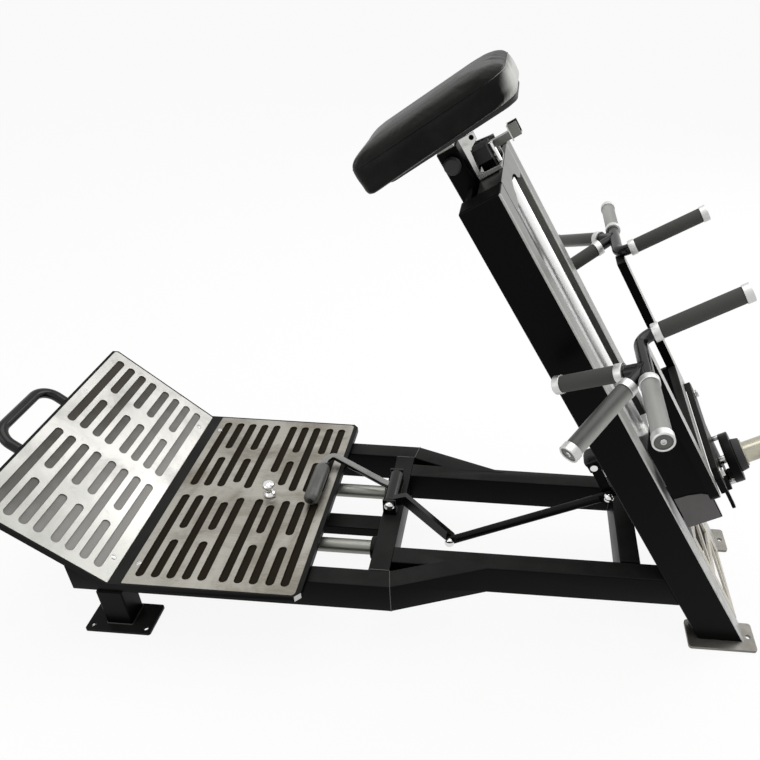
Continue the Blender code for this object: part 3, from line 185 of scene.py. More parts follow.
class ShaderGraph:
    """Shader tree of a material or of the world, and the nodes that feed its first shader."""

    def __init__(self, owner: Union[bpy.types.Material, bpy.types.World],
                 shader: str = "Principled BSDF") -> None:
        """Takes over the owner's tree, whose first shader has the given name."""
        owner.use_nodes = True
        self.owner = owner
        self.tree = owner.node_tree
        self.shader = self.tree.nodes[shader]

    def put(self, socket: bpy.types.NodeSocket, value: Value) -> None:
        """Links a signal to the socket, or writes a constant on it."""
        if isinstance(value, Signal):
            self.tree.links.new(value.socket, socket)
        elif isinstance(value, tuple) and len(value) == 3 and len(socket.default_value) == 4:
            socket.default_value = (*value, 1.0)
        else:
            socket.default_value = value

    def node(self, kind: str, settings: dict, inputs: dict) -> dict:
        """Adds one node.

        Args:
            kind: the node's type.
            settings: its own settings, which are set first.
            inputs: values or signals by socket name or number.

        Returns:
            Its outputs by name and by number.
        """
        made = self.tree.nodes.new(kind)
        for key, value in settings.items():
            setattr(made, key, value)
        for key, value in inputs.items():
            self.put(made.inputs[key], value)
        outputs = {item.name: Signal(self, item) for item in made.outputs if item.enabled}
        outputs.update({index: Signal(self, item) for index, item in enumerate(made.outputs)})
        return outputs

    def mix(self, factor: Value, first: Value, second: Value) -> Signal:
        """Mixes two colours."""
        return self.node("ShaderNodeMix", {"data_type": "RGBA"}, {0: factor, 6: first, 7: second})[2]

    def place(self, scale: Triple = (1.0, 1.0, 1.0), turn: Triple = (0.0, 0.0, 0.0)) -> Signal:
        """Object coordinates, turned and scaled."""
        where = self.node("ShaderNodeTexCoord", {}, {})["Object"]
        turned = self.node("ShaderNodeMapping", {}, {"Vector": where, "Rotation": turn})["Vector"]
        return self.node("ShaderNodeVectorMath", {"operation": "MULTIPLY"}, {0: turned, 1: scale})[0]

    def noise(self, scale: float, detail: float = 2.0, rough: float = 0.5, where: Union[Signal, None] = None,
              warp: float = 0.0) -> Signal:
        """Noise between 0 and 1 at a number of cells per metre."""
        return self.node("ShaderNodeTexNoise", {},
                         {"Vector": where or self.place(), "Scale": scale, "Detail": detail,
                          "Roughness": rough, "Distortion": warp})[0]

    def axes(self) -> dict:
        """Object coordinates, axis by axis."""
        return self.node("ShaderNodeSeparateXYZ", {}, {0: self.place()})

    def facing(self, way: Triple = Z_WAY) -> Signal:
        """How far a surface faces one way, from -1 to 1."""
        normal = self.node("ShaderNodeNewGeometry", {}, {})["Normal"]
        return self.node("ShaderNodeVectorMath", {"operation": "DOT_PRODUCT"}, {0: normal, 1: way})["Value"]

    def bump(self, height: Signal, strength: float, distance: float,
             below: Union[Signal, None] = None) -> Signal:
        """Bumped normal, on top of another one."""
        inputs = {"Height": height, "Strength": strength, "Distance": distance}
        if below is not None:
            inputs["Normal"] = below
        return self.node("ShaderNodeBump", {}, inputs)["Normal"]

    def dress(self, **values: Value) -> Union[bpy.types.Material, bpy.types.World]:
        """Sets the shader's sockets by name, with _ for a space, and returns the tree's owner."""
        for key, value in values.items():
            self.put(self.shader.inputs[key.replace("_", " ")], value)
        return self.owner

    def white_to_sight(self, white: Signal, output: str, share: float) -> None:
        """Shows plain white to rays from the camera, gloss and glass, while the first shader lights the rest.

        Args:
            white: shader that is seen.
            output: name of the tree's output node.
            share: how much of what is seen is white.
        """
        path = self.node("ShaderNodeLightPath", {}, {})
        seen = path["Is Camera Ray"].most(path["Is Glossy Ray"]).most(path["Is Transmission Ray"]) * share
        lit = Signal(self, self.shader.outputs[0])
        mixed = self.node("ShaderNodeMixShader", {}, {0: seen, 1: lit, 2: white})[0]
        self.put(self.tree.nodes[output].inputs[0], mixed)


@dataclass(frozen=True)
class Finish(ABC):
    """A surface finish of the machine."""

    name: str
    slot: str

    @abstractmethod
    def build(self, graph: ShaderGraph) -> bpy.types.Material:
        """Fills the material's graph."""

    def material(self) -> bpy.types.Material:
        """The finish's material, made once."""
        made = bpy.data.materials.get(self.name)
        return made or self.build(ShaderGraph(bpy.data.materials.new(self.name)))


@dataclass(frozen=True)
class PowderCoat(Finish):
    """Black powder coat: fine orange peel, dust and painted top light where it faces up, rubbed specks."""

    colour: Colour = (0.0016, 0.0018, 0.0016)
    dust_and_top_light: Colour = (0.024, 0.025, 0.023)
    roughness: float = 0.34
    # Share of dust and painted top light on the faces that look up.
    dust: float = 0.80
    specular: float = 0.045

    def build(self, graph: ShaderGraph) -> bpy.types.Material:
        """Fills the material's graph."""
        cloud = graph.noise(9.0, 4.0, 0.6)
        # Faces that look up get dust and painted top light.
        up = graph.facing().step(0.35, 0.95)
        dust = up * cloud.step(0.25, 0.75).span(0.55, 1.0) * self.dust
        specks = graph.noise(260.0, 2.0, 0.6).step(0.72, 0.80) * cloud.step(0.5, 0.62)
        colour = graph.mix(dust, self.colour, self.dust_and_top_light)
        colour = graph.mix(specks * 0.4, colour, (0.06, 0.06, 0.055))
        peel = graph.bump(graph.noise(700.0, 2.0, 0.55), 0.08, 0.0005)
        return graph.dress(Base_Color=colour,
                           Roughness=cloud.span(self.roughness - 0.07, self.roughness + 0.10), Normal=peel,
                           Specular_IOR_Level=self.specular)


@dataclass(frozen=True)
class PaintedLightCoat(Finish):
    """Coat with painted light on one face, paler towards the foot."""

    high: Colour = (0.10, 0.10, 0.092)
    low: Colour = (0.38, 0.38, 0.36)
    reach: Pair = (0.45, 1.15)
    roughness: float = 0.30
    specular: float = 0.35

    def build(self, graph: ShaderGraph) -> bpy.types.Material:
        """Fills the material's graph."""
        cloud = graph.noise(16.0, 4.0, 0.6)
        colour = graph.mix(graph.axes()["Z"].step(*self.reach), self.low, self.high)
        colour = graph.mix(cloud.step(0.45, 0.75) * 0.35, colour, (0.05, 0.05, 0.047))
        peel = graph.bump(graph.noise(700.0, 2.0, 0.55), 0.05, 0.0004)
        return graph.dress(Base_Color=colour,
                           Roughness=cloud.span(self.roughness - 0.05, self.roughness + 0.08), Normal=peel,
                           Specular_IOR_Level=self.specular)


@dataclass(frozen=True)
class SlopedReflectionCoat(Finish):
    """Painted reflection on the coat behind the raised plate: brown in the far upper corner, paler towards
    the fold.
    """

    far: Colour
    close: Colour
    reach: Pair = (-0.93, -0.66)

    def build(self, graph: ShaderGraph) -> bpy.types.Material:
        """Fills the material's graph."""
        where = graph.axes()
        cloud = graph.noise(16.0, 4.0, 0.6)
        share = (where["X"] - where["Y"] * 0.25 + (cloud - 0.5) * 0.10).step(*self.reach)
        fine = graph.noise(500.0, 2.0, 0.6)
        colour = graph.mix(share, self.far, self.close)
        colour = graph.mix(fine.step(0.45, 0.8) * 0.25, colour, (0.10, 0.095, 0.085))
        return graph.dress(Base_Color=colour, Roughness=cloud.span(0.5, 0.65),
                           Normal=graph.bump(fine, 0.10, 0.0004), Specular_IOR_Level=0.1)


@dataclass(frozen=True)
class SatinSteel(Finish):
    """Satin stainless sheet: grain along one axis, brown smudges, scuffs from shoes."""

    colour: Colour = (0.40, 0.385, 0.35)
    smudge: Colour = (0.17, 0.150, 0.120)
    amount: float = 0.75
    turn: Triple = (0.0, 0.0, 0.0)
    roughness: float = 0.34
    darker_side_y: Pair = (0.0, 0.0)

    def build(self, graph: ShaderGraph) -> bpy.types.Material:
        """Fills the material's graph."""
        grain = graph.noise(1.0, 3.0, 0.6, graph.place((30.0, 1400.0, 1400.0), self.turn))
        cloud = graph.noise(5.5, 6.0, 0.62, warp=0.6)
        drops = graph.noise(42.0, 3.0, 0.6).step(0.60, 0.74)
        rubbed = graph.noise(1.0, 4.0, 0.6, graph.place((60.0, 9.0, 9.0), self.turn)).step(0.50, 0.72)
        colour = graph.mix(cloud.step(0.40, 0.66) * self.amount, self.colour, self.smudge)
        colour = graph.mix(drops * 0.30, colour, self.smudge)
        # Towards the near side the colour darkens to the smudge colour.
        if any(self.darker_side_y):
            side = graph.axes()["Y"] + (cloud - 0.5) * 0.25
            colour = graph.mix(side.step(*self.darker_side_y[::-1]) * 0.75, colour, self.smudge)
        colour = graph.mix(grain.step(0.35, 0.75) * 0.16, colour, (0.80, 0.79, 0.76))
        rough = grain.span(self.roughness - 0.08, self.roughness + 0.08) + rubbed * 0.10
        return graph.dress(Base_Color=colour, Roughness=rough, Metallic=1.0,
                           Normal=graph.bump(grain, 0.10, 0.0002))


@dataclass(frozen=True)
class Metal(Finish):
    """Bright metal: chrome, zinc plate or turned aluminium, told apart by colour, roughness and grain."""

    colour: Colour = (0.70, 0.70, 0.69)
    stain: Colour = (0.42, 0.39, 0.34)
    roughness: float = 0.12
    stains: float = 0.35
    grain: float = 0.04

    def build(self, graph: ShaderGraph) -> bpy.types.Material:
        """Fills the material's graph."""
        cloud = graph.noise(24.0, 5.0, 0.62, warp=0.4)
        fine = graph.noise(1600.0, 2.0, 0.6)
        colour = graph.mix(cloud.step(0.45, 0.75) * self.stains, self.colour, self.stain)
        rough = cloud.span(self.roughness * 0.8, self.roughness * 1.5) + fine * (0.5 * self.grain)
        return graph.dress(Base_Color=colour, Roughness=rough, Metallic=1.0,
                           Normal=graph.bump(fine, self.grain, 0.0003))


@dataclass(frozen=True)
class Moulded(Finish):
    """Rubber or plastic: even colour with dust, fine grain and a matte skin."""

    colour: Colour = (0.045, 0.044, 0.042)
    worn: Colour = (0.085, 0.083, 0.078)
    roughness: float = 0.62
    grain_scale: float = 1300.0
    grain: float = 0.25
    specular: float = 0.35
    # Colour of the painted reflection on the faces that look towards `lit`.
    reflection_colour: Colour = (0.0, 0.0, 0.0)
    lit: Triple = (0.0, 0.0, 0.0)

    def build(self, graph: ShaderGraph) -> bpy.types.Material:
        """Fills the material's graph; faces that look towards `lit` get a painted reflection of colour
        `reflection_colour`.
        """
        cloud = graph.noise(30.0, 4.0, 0.6)
        fine = graph.noise(self.grain_scale, 2.0, 0.6)
        colour = graph.mix(cloud.step(0.42, 0.72) * 0.45, self.colour, self.worn)
        colour = graph.mix(fine.step(0.55, 0.80) * 0.25, colour, self.worn)
        if any(self.lit):
            lit = graph.facing(self.lit).step(0.05, 0.95)
            colour = graph.mix(lit * cloud.span(0.8, 1.0), colour, self.reflection_colour)
        return graph.dress(Base_Color=colour,
                           Roughness=cloud.span(self.roughness - 0.06, self.roughness + 0.08),
                           Normal=graph.bump(fine, self.grain, 0.0005), Specular_IOR_Level=self.specular)


@dataclass(frozen=True)
class Vinyl(Finish):
    """Charcoal upholstery vinyl: pebbled grain, soft creases, dust and painted light on top, and a painted
    highlight on the end faces.
    """

    colour: Colour = (0.0070, 0.0070, 0.0068)
    worn: Colour = (0.0125, 0.0125, 0.0120)
    dust_and_top_light: Colour = (0.0105, 0.0107, 0.0092)
    end_highlight: Colour = (0.58, 0.58, 0.555)

    def build(self, graph: ShaderGraph) -> bpy.types.Material:
        """Fills the material's graph."""
        cells = graph.node("ShaderNodeTexVoronoi", {"feature": "SMOOTH_F1"},
                           {"Vector": graph.place(), "Scale": 620.0, "Smoothness": 0.6})["Distance"]
        cloud = graph.noise(14.0, 4.0, 0.6)
        creases = graph.noise(60.0, 3.0, 0.65, warp=0.8)
        normal = graph.bump(cells, 0.28, 0.0008, graph.bump(creases, 0.12, 0.0015))
        colour = graph.mix(cloud.step(0.35, 0.70), self.colour, self.worn)
        # Faces that look up get dust and painted light; faces that look along x get a painted highlight.
        colour = graph.mix(graph.facing().step(0.30, 0.85) * cloud.span(0.7, 1.0), colour, self.dust_and_top_light)
        colour = graph.mix(graph.facing(X_WAY).step(0.42, 0.86) * cloud.span(0.6, 1.0), colour, self.end_highlight)
        return graph.dress(Base_Color=colour, Roughness=cloud.span(0.27, 0.38), Normal=normal,
                           Specular_IOR_Level=0.05)


BLACK = PowderCoat("black_powder_coat", "frame_black")
# Painted shade: a darker copy of the coat for the posts' tops and the plug in the bracket ear's hole.
SHADE_BLACK = PowderCoat("black_coat_painted_shade", "frame_black", (0.0012, 0.0012, 0.0012), (0.004, 0.004, 0.004), 0.50,
                  0.6, 0.02)
# Painted reflection on the mast's front faces, paler towards the foot.
FRONT_REFLECTION = PaintedLightCoat("mast_front_painted_reflection", "frame_black")
# Painted highlight on the near front edges of the posts and the platform's tray.
EDGE_HIGHLIGHT = PaintedLightCoat("edge_painted_highlight", "frame_black", (0.42, 0.42, 0.40), (0.60, 0.60, 0.58))
# Painted reflection on the pedal arm's upward faces.
ARM_TOP_REFLECTION = PaintedLightCoat("lever_top_painted_reflection", "frame_black", (0.26, 0.26, 0.25), (0.24, 0.24, 0.23))
# Painted reflection on the carriage frame's front faces.
ARM_FRONT_REFLECTION = PaintedLightCoat("arm_front_painted_reflection", "frame_black", (0.40, 0.40, 0.38), (0.30, 0.30, 0.285), (0.60, 0.80))
# Painted light and shade on the far post's inner face: light above, shade towards the foot.
INNER = PaintedLightCoat("mast_inner_painted_light", "frame_black", (0.135, 0.133, 0.122), (0.030, 0.030, 0.028),
                     (0.70, 1.05))
GLOSS = PowderCoat("gloss_black_coat", "frame_black", (0.0018, 0.0018, 0.0017), (0.008, 0.008, 0.0075), 0.17,
                   0.7, 0.30)
# Painted reflection of the floor on the lower part of the carriage's side plates.
SIDE_PLATE_REFLECTION = PaintedLightCoat("side_plate_painted_reflection", "frame_black", (0.090, 0.084, 0.083), (0.080, 0.075, 0.074))
SEAM = PowderCoat("weld_seam_coat", "frame_black", (0.020, 0.020, 0.019), (0.060, 0.060, 0.056), 0.25, 0.9,
                  0.5)
BACKING = PowderCoat("deck_backing_dark", "frame_black", (0.0100, 0.0078, 0.0050), (0.0185, 0.0145, 0.0095),
                     0.60, 0.9, 0.03)
# Painted reflection on the raised panel's pocket floor, seen through the slots.
BACKING_REFLECTION = SlopedReflectionCoat("deck_backing_painted_reflection", "frame_black", (0.045, 0.040, 0.033), (0.30, 0.295, 0.28))
PALE_PLATE = Metal("worn_foot_plate", "frame_black", (0.19, 0.18, 0.165), (0.10, 0.09, 0.08), 0.42)
# Cream: on the lattice plate a painted reflection on its black coat; also the sleeve washer's colour.
CREAM_AND_REFLECTION = PowderCoat("cream_and_painted_reflection_coat", "frame_black", (0.50, 0.47, 0.40), (0.62, 0.58, 0.50), 0.45, 0.8, 0.30)
FLAT_STEEL = SatinSteel("level_plate_steel", "satin_steel", (0.37, 0.355, 0.315), (0.155, 0.137, 0.105), 0.85)
RAISED_STEEL = SatinSteel("raised_plate_steel", "satin_steel", (0.60, 0.59, 0.56), (0.23, 0.232, 0.215), 0.60,
                          (0.0, SLOPE, 0.0), darker_side_y=(-0.30, -0.06))
POST_STEEL = SatinSteel("post_steel", "satin_steel", (0.30, 0.29, 0.27), (0.15, 0.14, 0.12), 0.5,
                        (0.0, -LEAN, 0.0))
CHROME = Metal("chrome", "chrome")
SLEEVE_CHROME = Metal("sleeve_chrome", "chrome", (0.44, 0.42, 0.34), (0.20, 0.185, 0.135), 0.24, 0.7)
ROD_CHROME = Metal("rod_chrome", "chrome", (0.21, 0.21, 0.19), (0.20, 0.20, 0.17), 0.34, 0.4, 0.004)
GUIDE_CHROME = Metal("guide_chrome", "chrome", (0.88, 0.88, 0.87), (0.75, 0.75, 0.73), 0.36, 0.3, 0.002)
ALUMINIUM = Metal("turned_aluminium", "aluminium", (0.58, 0.58, 0.57), (0.42, 0.42, 0.41), 0.36, 0.3, 0.12)
ZINC = Metal("zinc_plate", "zinc", (0.60, 0.60, 0.58), (0.26, 0.26, 0.24), 0.22, 0.7, 0.08)
# Painted shade: a darker copy of the zinc for the top bracket's inside and its clip.
SHADED_ZINC = Metal("zinc_plate_painted_shade", "zinc", (0.16, 0.16, 0.15), (0.075, 0.076, 0.068), 0.22, 0.8, 0.05)
BOLT = Metal("bolt_steel", "chrome", (0.50, 0.50, 0.49), (0.32, 0.31, 0.29), 0.22, 0.4, 0.05)
# Grips: faces that look towards `lit` get a painted reflection.
GRIP = Moulded("grip_rubber", "grip_rubber", (0.028, 0.028, 0.025), (0.052, 0.051, 0.046), 0.40, specular=0.5,
               reflection_colour=(0.120, 0.119, 0.110), lit=(0.30, -0.75, 0.59))
# Outer grips: a stronger painted reflection on the faces that look down and towards the near front.
OUTER_GRIP_REFLECTION = Moulded("grip_rubber_painted_reflection", "grip_rubber", (0.036, 0.036, 0.032), (0.060, 0.059, 0.054), 0.40,
                      specular=0.5, reflection_colour=(0.40, 0.40, 0.38), lit=(0.68, -0.62, -0.40))
# Side grips: painted light, pale all over, with a painted reflection on the faces that look towards `lit`.
SIDE_GRIP_REFLECTION = Moulded("grip_rubber_painted_pale_light", "grip_rubber", (0.100, 0.099, 0.091), (0.150, 0.149, 0.138), 0.40,
                    specular=0.5, reflection_colour=(0.30, 0.30, 0.285), lit=(-0.60, -0.55, 0.58))
PLUG = Moulded("plug_plastic", "grip_rubber", (0.085, 0.084, 0.076), (0.14, 0.138, 0.125), 0.35, specular=0.5)
ROLLER = Moulded("roller_rubber", "grip_rubber", (0.060, 0.060, 0.056), (0.13, 0.13, 0.12), 0.34,
                 specular=0.5)
RUBBER = Moulded("black_rubber", "black_rubber", (0.006, 0.006, 0.006), (0.016, 0.016, 0.015), 0.50,
                 specular=0.12)
PLASTIC = Moulded("black_plastic", "black_plastic", (0.008, 0.008, 0.008), (0.022, 0.022, 0.021), 0.40, 900.0,
                  0.15, 0.20)
VINYL = Vinyl("charcoal_vinyl", "pad_vinyl")


def mirrored(side: float, first: float, second: float) -> Pair:
    """Limits along y of something that lies between two distances on one side of the middle plane."""
    low, high = sorted((side * first, side * second))
    return low, high


def both_halves(right: list[Pair]) -> list[Pair]:
    """Outline of a half and its mirror image; a point on the middle line stands in it once."""
    return [(-y, s) for y, s in right if y] + right[::-1]


def arc(start: float, sweep: float, steps: int) -> list[float]:
    """Even turns from a start angle on, both ends among them."""
    return [start + sweep * index / steps for index in range(steps + 1)]


def circle(radius: float, count: int, centre: Pair = (0.0, 0.0), start: float = 0.0) -> list[Pair]:
    """Points of a regular outline."""
    return [(centre[0] + radius * cos(a), centre[1] + radius * sin(a))
            for a in arc(start, 2.0 * pi, count)[:-1]]


def rounded(x: Pair, y: Pair, radius: Union[float, Sequence[float]], steps: int = 5) -> list[Pair]:
    """Rectangle outline with round corners.

    Args:
        x: limits along the first axis.
        y: limits along the second axis.
        radius: one radius, or one for each corner from the low one round.
        steps: facets of each corner.

    Returns:
        The outline's points.
    """
    radii = list(radius) if isinstance(radius, (list, tuple)) else [radius] * 4
    points = []
    for (cx, cy, first), r in zip(((x[0], y[0], pi), (x[1], y[0], 1.5 * pi), (x[1], y[1], 0.0),
                                   (x[0], y[1], 0.5 * pi)), radii):
        mx = cx + (r if cx == x[0] else -r)
        my = cy + (r if cy == y[0] else -r)
        points += [(mx + r * cos(a), my + r * sin(a)) for a in arc(first, 0.5 * pi, steps)]
    return points


def strip(path: Sequence[Pair], half: float, steps: int = 10) -> list[Pair]:
    """Outline of a flat link of even width along a bent line, with round ends."""
    left: list[Pair] = []
    right: list[Pair] = []
    ends: list[list[Pair]] = []
    last = len(path) - 1
    for index, (px, py) in enumerate(path):
        before, after = path[max(index - 1, 0)], path[min(index + 1, last)]
        a_in = atan2(py - before[1], px - before[0]) if index else None
        a_out = atan2(after[1] - py, after[0] - px) if index < last else None
        a_in = a_out if a_in is None else a_in
        a_out = a_in if a_out is None else a_out
        middle = 0.5 * (a_in + a_out)
        reach = half / cos(0.5 * (a_out - a_in))
        if 0 < index < last:
            left.append((px - reach * sin(middle), py + reach * cos(middle)))
            right.append((px + reach * sin(middle), py - reach * cos(middle)))
        else:
            first = middle + (0.5 if index == 0 else -0.5) * pi
            ends.append([(px + half * cos(a), py + half * sin(a)) for a in arc(first, pi, steps)])
    return ends[0] + right + ends[1] + left[::-1]


def fillet(path: Sequence[Iterable[float]], radius: float, steps: int = 10) -> list[Vector]:
    """Rounds the inner corners of a line in space."""
    points = [Vector(path[0])]
    for before, corner, after in zip(path, path[1:], path[2:]):
        corner = Vector(corner)
        back = (Vector(before) - corner).normalized()
        ahead = (Vector(after) - corner).normalized()
        half_turn = 0.5 * back.angle(ahead)
        centre = corner + (back + ahead).normalized() * (radius / sin(half_turn))
        start = (corner + back * (radius / tan(half_turn)) - centre).normalized()
        end = (corner + ahead * (radius / tan(half_turn)) - centre).normalized()
        points += [centre + start.slerp(end, index / steps) * radius for index in range(steps + 1)]
    return points + [Vector(path[-1])]


class Shape:
    """A closed mesh in the making."""

    def __init__(self) -> None:
        """Starts with no faces."""
        self.bm = bmesh.new()

    def prism(self, outline: Sequence[Pair], low: float, high: float, across: Across = Across.Y) -> "Shape":
        """Pushes an outline from one level to another of the axis across it."""
        face = self.bm.faces.new([self.bm.verts.new(across.point(a, b, low)) for a, b in outline])
        grown = bmesh.ops.extrude_face_region(self.bm, geom=[face])
        moved = [item for item in grown["geom"] if isinstance(item, bmesh.types.BMVert)]
        bmesh.ops.translate(self.bm, verts=moved, vec=Vector(across.point(0.0, 0.0, high - low)))
        return self

    def block(self, x: Pair, y: Pair, z: Pair) -> "Shape":
        """Rectangular block."""
        return self.prism([(x[0], y[0]), (x[1], y[0]), (x[1], y[1]), (x[0], y[1])], z[0], z[1], Across.Z)

    def loft(self, rings: Sequence[Sequence[Iterable[float]]], closed: bool = False) -> "Shape":
        """Joins rings of points.

        Args:
            rings: the rings, all of one length except those that shrink to one point.
            closed: whether the last ring runs on into the first; open lofts get end faces instead.

        Returns:
            The shape itself.
        """
        made = [[self.bm.verts.new(point) for point in ring] for ring in rings]
        pairs = list(zip(made, made[1:])) + ([(made[-1], made[0])] if closed else [])
        for one, two in pairs:
            count = max(len(one), len(two))
            for index in range(count if count > 1 else 0):
                after = (index + 1) % count
                corners = [one[index % len(one)], one[after % len(one)], two[after % len(two)],
                           two[index % len(two)]]
                self.bm.faces.new(list(dict.fromkeys(corners)))
        for ring in () if closed else (made[0][::-1], made[-1]):
            if len(ring) > 1:
                self.bm.faces.new(ring)
        return self

    def sweep(self, section: Sequence[Pair], path: Sequence[Iterable[float]],
              end_cut: Union[Triple, None] = None, up: Triple = Z_WAY) -> "Shape":
        """Carries a section along a line, mitred at each bend.

        Args:
            section: the section's points, across and up.
            path: the line.
            end_cut: normal of the plane that ends it, if not square.
            up: direction that the section's second axis leans to.

        Returns:
            The shape itself.
        """
        points = [Vector(point) for point in path]
        ways = [(b - a).normalized() for a, b in zip(points, points[1:])]
        side = ways[0].cross(Vector(up)).normalized()
        top = side.cross(ways[0]).normalized()
        planes = [ways[0]] + [(a + b).normalized() for a, b in zip(ways, ways[1:])]
        planes.append(Vector(end_cut) if end_cut else ways[-1])
        places = [points[0] + side * u + top * v for u, v in section]
        rings = []
        for index, (point, plane) in enumerate(zip(points, planes)):
            way = ways[max(index - 1, 0)]
            places = [p + way * ((point - p).dot(plane) / way.dot(plane)) for p in places]
            rings.append(places)
        return self.loft(rings)

    def turned(self, profile: Sequence[Pair], centre: Iterable[float], axis: Iterable[float], count: int = 48,
               closed: bool = False) -> "Shape":
        """Turns a profile of (radius, along) pairs about an axis; a closed profile makes a ring."""
        axis = Vector(axis).normalized()
        side = Vector(Y_WAY) if abs(axis.y) < 0.9 else Vector(X_WAY)
        side = (side - axis * side.dot(axis)).normalized()
        other = axis.cross(side)
        rings, turns = [], arc(0.0, 2.0 * pi, count)[:-1]
        for radius, along in profile:
            middle = Vector(centre) + axis * along
            rings.append([middle + (side * cos(a) + other * sin(a)) * radius for a in turns]
                         if radius else [middle])
        return self.loft(rings, closed)

    def seam(self, line: Sequence[Iterable[float]], radius: float = 0.0013, pitch: float = 0.0022) -> "Shape":
        """Weld seam along a line: a thin roll whose ripples follow one another at an even pitch."""
        turns = arc(0.0, 2.0 * pi, 8)[:-1]
        for start, end in zip(line, line[1:]):
            start, end = Vector(start), Vector(end)
            way = (end - start).normalized()
            side = way.orthogonal().normalized()
            other = way.cross(side)
            count = max(int((end - start).length / (0.5 * pitch)), 3)
            rings = []
            for index in range(count + 1):
                r = radius * (1.0 if index % 2 else 0.78) * (0.35 if index in (0, count) else 1.0)
                middle = start.lerp(end, index / count)
                rings.append([middle + (side * cos(a) + other * sin(a)) * r for a in turns])
            self.loft(rings)
        return self

    def link(self, name: str) -> bpy.types.Object:
        """Puts the shape into the scene as an object whose faces look outward."""
        bmesh.ops.recalc_face_normals(self.bm, faces=self.bm.faces)
        mesh = bpy.data.meshes.new(name)
        self.bm.to_mesh(mesh)
        self.bm.free()
        made = bpy.data.objects.new(name, mesh)
        bpy.context.scene.collection.objects.link(made)
        return made


def disc(radius: float, low: float, high: float, edge: float = 0.0) -> list[Pair]:
    """Profile of a solid round piece, with a rounded rim where edge is given."""
    if not edge:
        return [(0.0, low), (radius, low), (radius, high), (0.0, high)]
    turns = arc(0.0, 0.5 * pi, 4)
    rim = [(radius - edge + edge * sin(a), low + edge - edge * cos(a)) for a in turns]
    rim += [(radius - edge + edge * cos(a), high - edge + edge * sin(a)) for a in turns]
    return [(0.0, low), *rim, (0.0, high)]


def ring(inner: float, outer: float, low: float, high: float, edge: float = 0.0) -> list[Pair]:
    """Profile of a round piece with a bore."""
    return [(inner, low), *disc(outer, low, high, edge)[1:-1], (inner, high)]


def modify(made: bpy.types.Object, kind: str, **settings: object) -> None:
    """Adds a modifier with its settings."""
    step = made.modifiers.new(kind.lower(), kind)
    for key, value in settings.items():
        setattr(step, key, value)


def freeze(made: bpy.types.Object) -> None:
    """Replaces the mesh with its evaluated form and drops the modifiers."""
    bpy.context.view_layer.update()
    baked = bpy.data.meshes.new_from_object(made.evaluated_get(bpy.context.evaluated_depsgraph_get()))
    made.modifiers.clear()
    made.data = baked


@dataclass
class Piece:
    """A piece of the machine: its shape, where it is drawn, what it is finished in and what carries it."""

    name: str
    shape: Shape
    place: Matrix
    finish: Finish
    body: Body
    replaces: tuple[str, ...] = ()
    joins: tuple[Shape, ...] = ()
    cuts: tuple[Shape, ...] = ()
    bevel: float = 0.0
    segments: int = 3
    corner: float = 0.6
    # Finishes that paint light and shade on the faces that look a given way: finish, way and least dot
    # product.
    accents: tuple[tuple["Finish", Triple, float], ...] = ()

    def make(self) -> bpy.types.Object:
        """Builds the piece with its welds, cuts and rounded edges baked in.

        Returns:
            The object, in the world and riding on its body.
        """
        made = self.shape.link(self.name)
        tools = []
        for operation, shapes in (("UNION", self.joins), ("DIFFERENCE", self.cuts)):
            for shape in shapes:
                tools.append(shape.link(f"{self.name}_tool"))
                modify(made, "BOOLEAN", object=tools[-1], operation=operation, solver="EXACT")
        if self.bevel:
            modify(made, "BEVEL", width=self.bevel, segments=self.segments, limit_method="ANGLE",
                   angle_limit=self.corner)
        freeze(made)
        for tool in tools:
            bpy.data.objects.remove(tool, do_unlink=True)
        made.data.shade_smooth()
        made.data.set_sharp_from_angle(angle=self.corner)
        made.data.transform(self.place)
        if self.bevel:
            modify(made, "WEIGHTED_NORMAL", keep_sharp=True)
            freeze(made)
        return self.carry(made)

    def carry(self, made: bpy.types.Object) -> bpy.types.Object:
        """Gives the object its finish, the painted light and shade on faces that look given ways, its body
        and the nodes it stands for.
        """
        made.data.materials.clear()
        made.data.materials.append(self.finish.material())
        for index, (finish, way, least) in enumerate(self.accents, 1):
            made.data.materials.append(finish.material())
            towards = self.place.to_3x3() @ Vector(way).normalized()
            for face in made.data.polygons:
                if face.normal.dot(towards) > least:
                    face.material_index = index
        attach(made, self.body.value)
        if self.replaces:
            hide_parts(*self.replaces)
        LOG.info("%s: %d faces on %s", self.name, len(made.data.polygons), self.body.value)
        return made


@dataclass
class SubAssembly(ABC):
    """A group of pieces: all frames, the one that most are drawn in, and the body that they ride on."""

    place: Place
    home: Matrix
    body: Body

    def add(self, name: str, shape: Shape, finish: Finish, *nodes: str,
            **options: object) -> bpy.types.Object:
        """Makes a piece of the group.

        Args:
            name: the piece's name.
            shape: its shape, in the group's frame unless `place` is given.
            finish: its surface.
            nodes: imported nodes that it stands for.
            options: other fields of the piece.

        Returns:
            The object.
        """
        settings = {"place": self.home, "body": self.body, "replaces": nodes, **options}
        return Piece(name, shape, finish=finish, **settings).make()

    @abstractmethod
    def build(self) -> None:
        """Makes the group's pieces."""

    @staticmethod
    def keep(finish: Finish, *nodes: str) -> None:
        """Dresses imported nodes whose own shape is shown."""
        for node in nodes:
            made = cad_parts[node]
            made.data.materials.clear()
            made.data.materials.append(finish.material())
            LOG.info("%s: packed shape", node)

    @staticmethod
    def hexagon_profile(radius: float, height: float, foot: float) -> list[Pair]:
        """Profile of a bolt head with a chamfered crown, to be turned in six flats."""
        top = foot + height
        return [(0.0, foot), (radius, foot), (radius, top - 0.2 * height), (0.82 * radius, top), (0.0, top)]


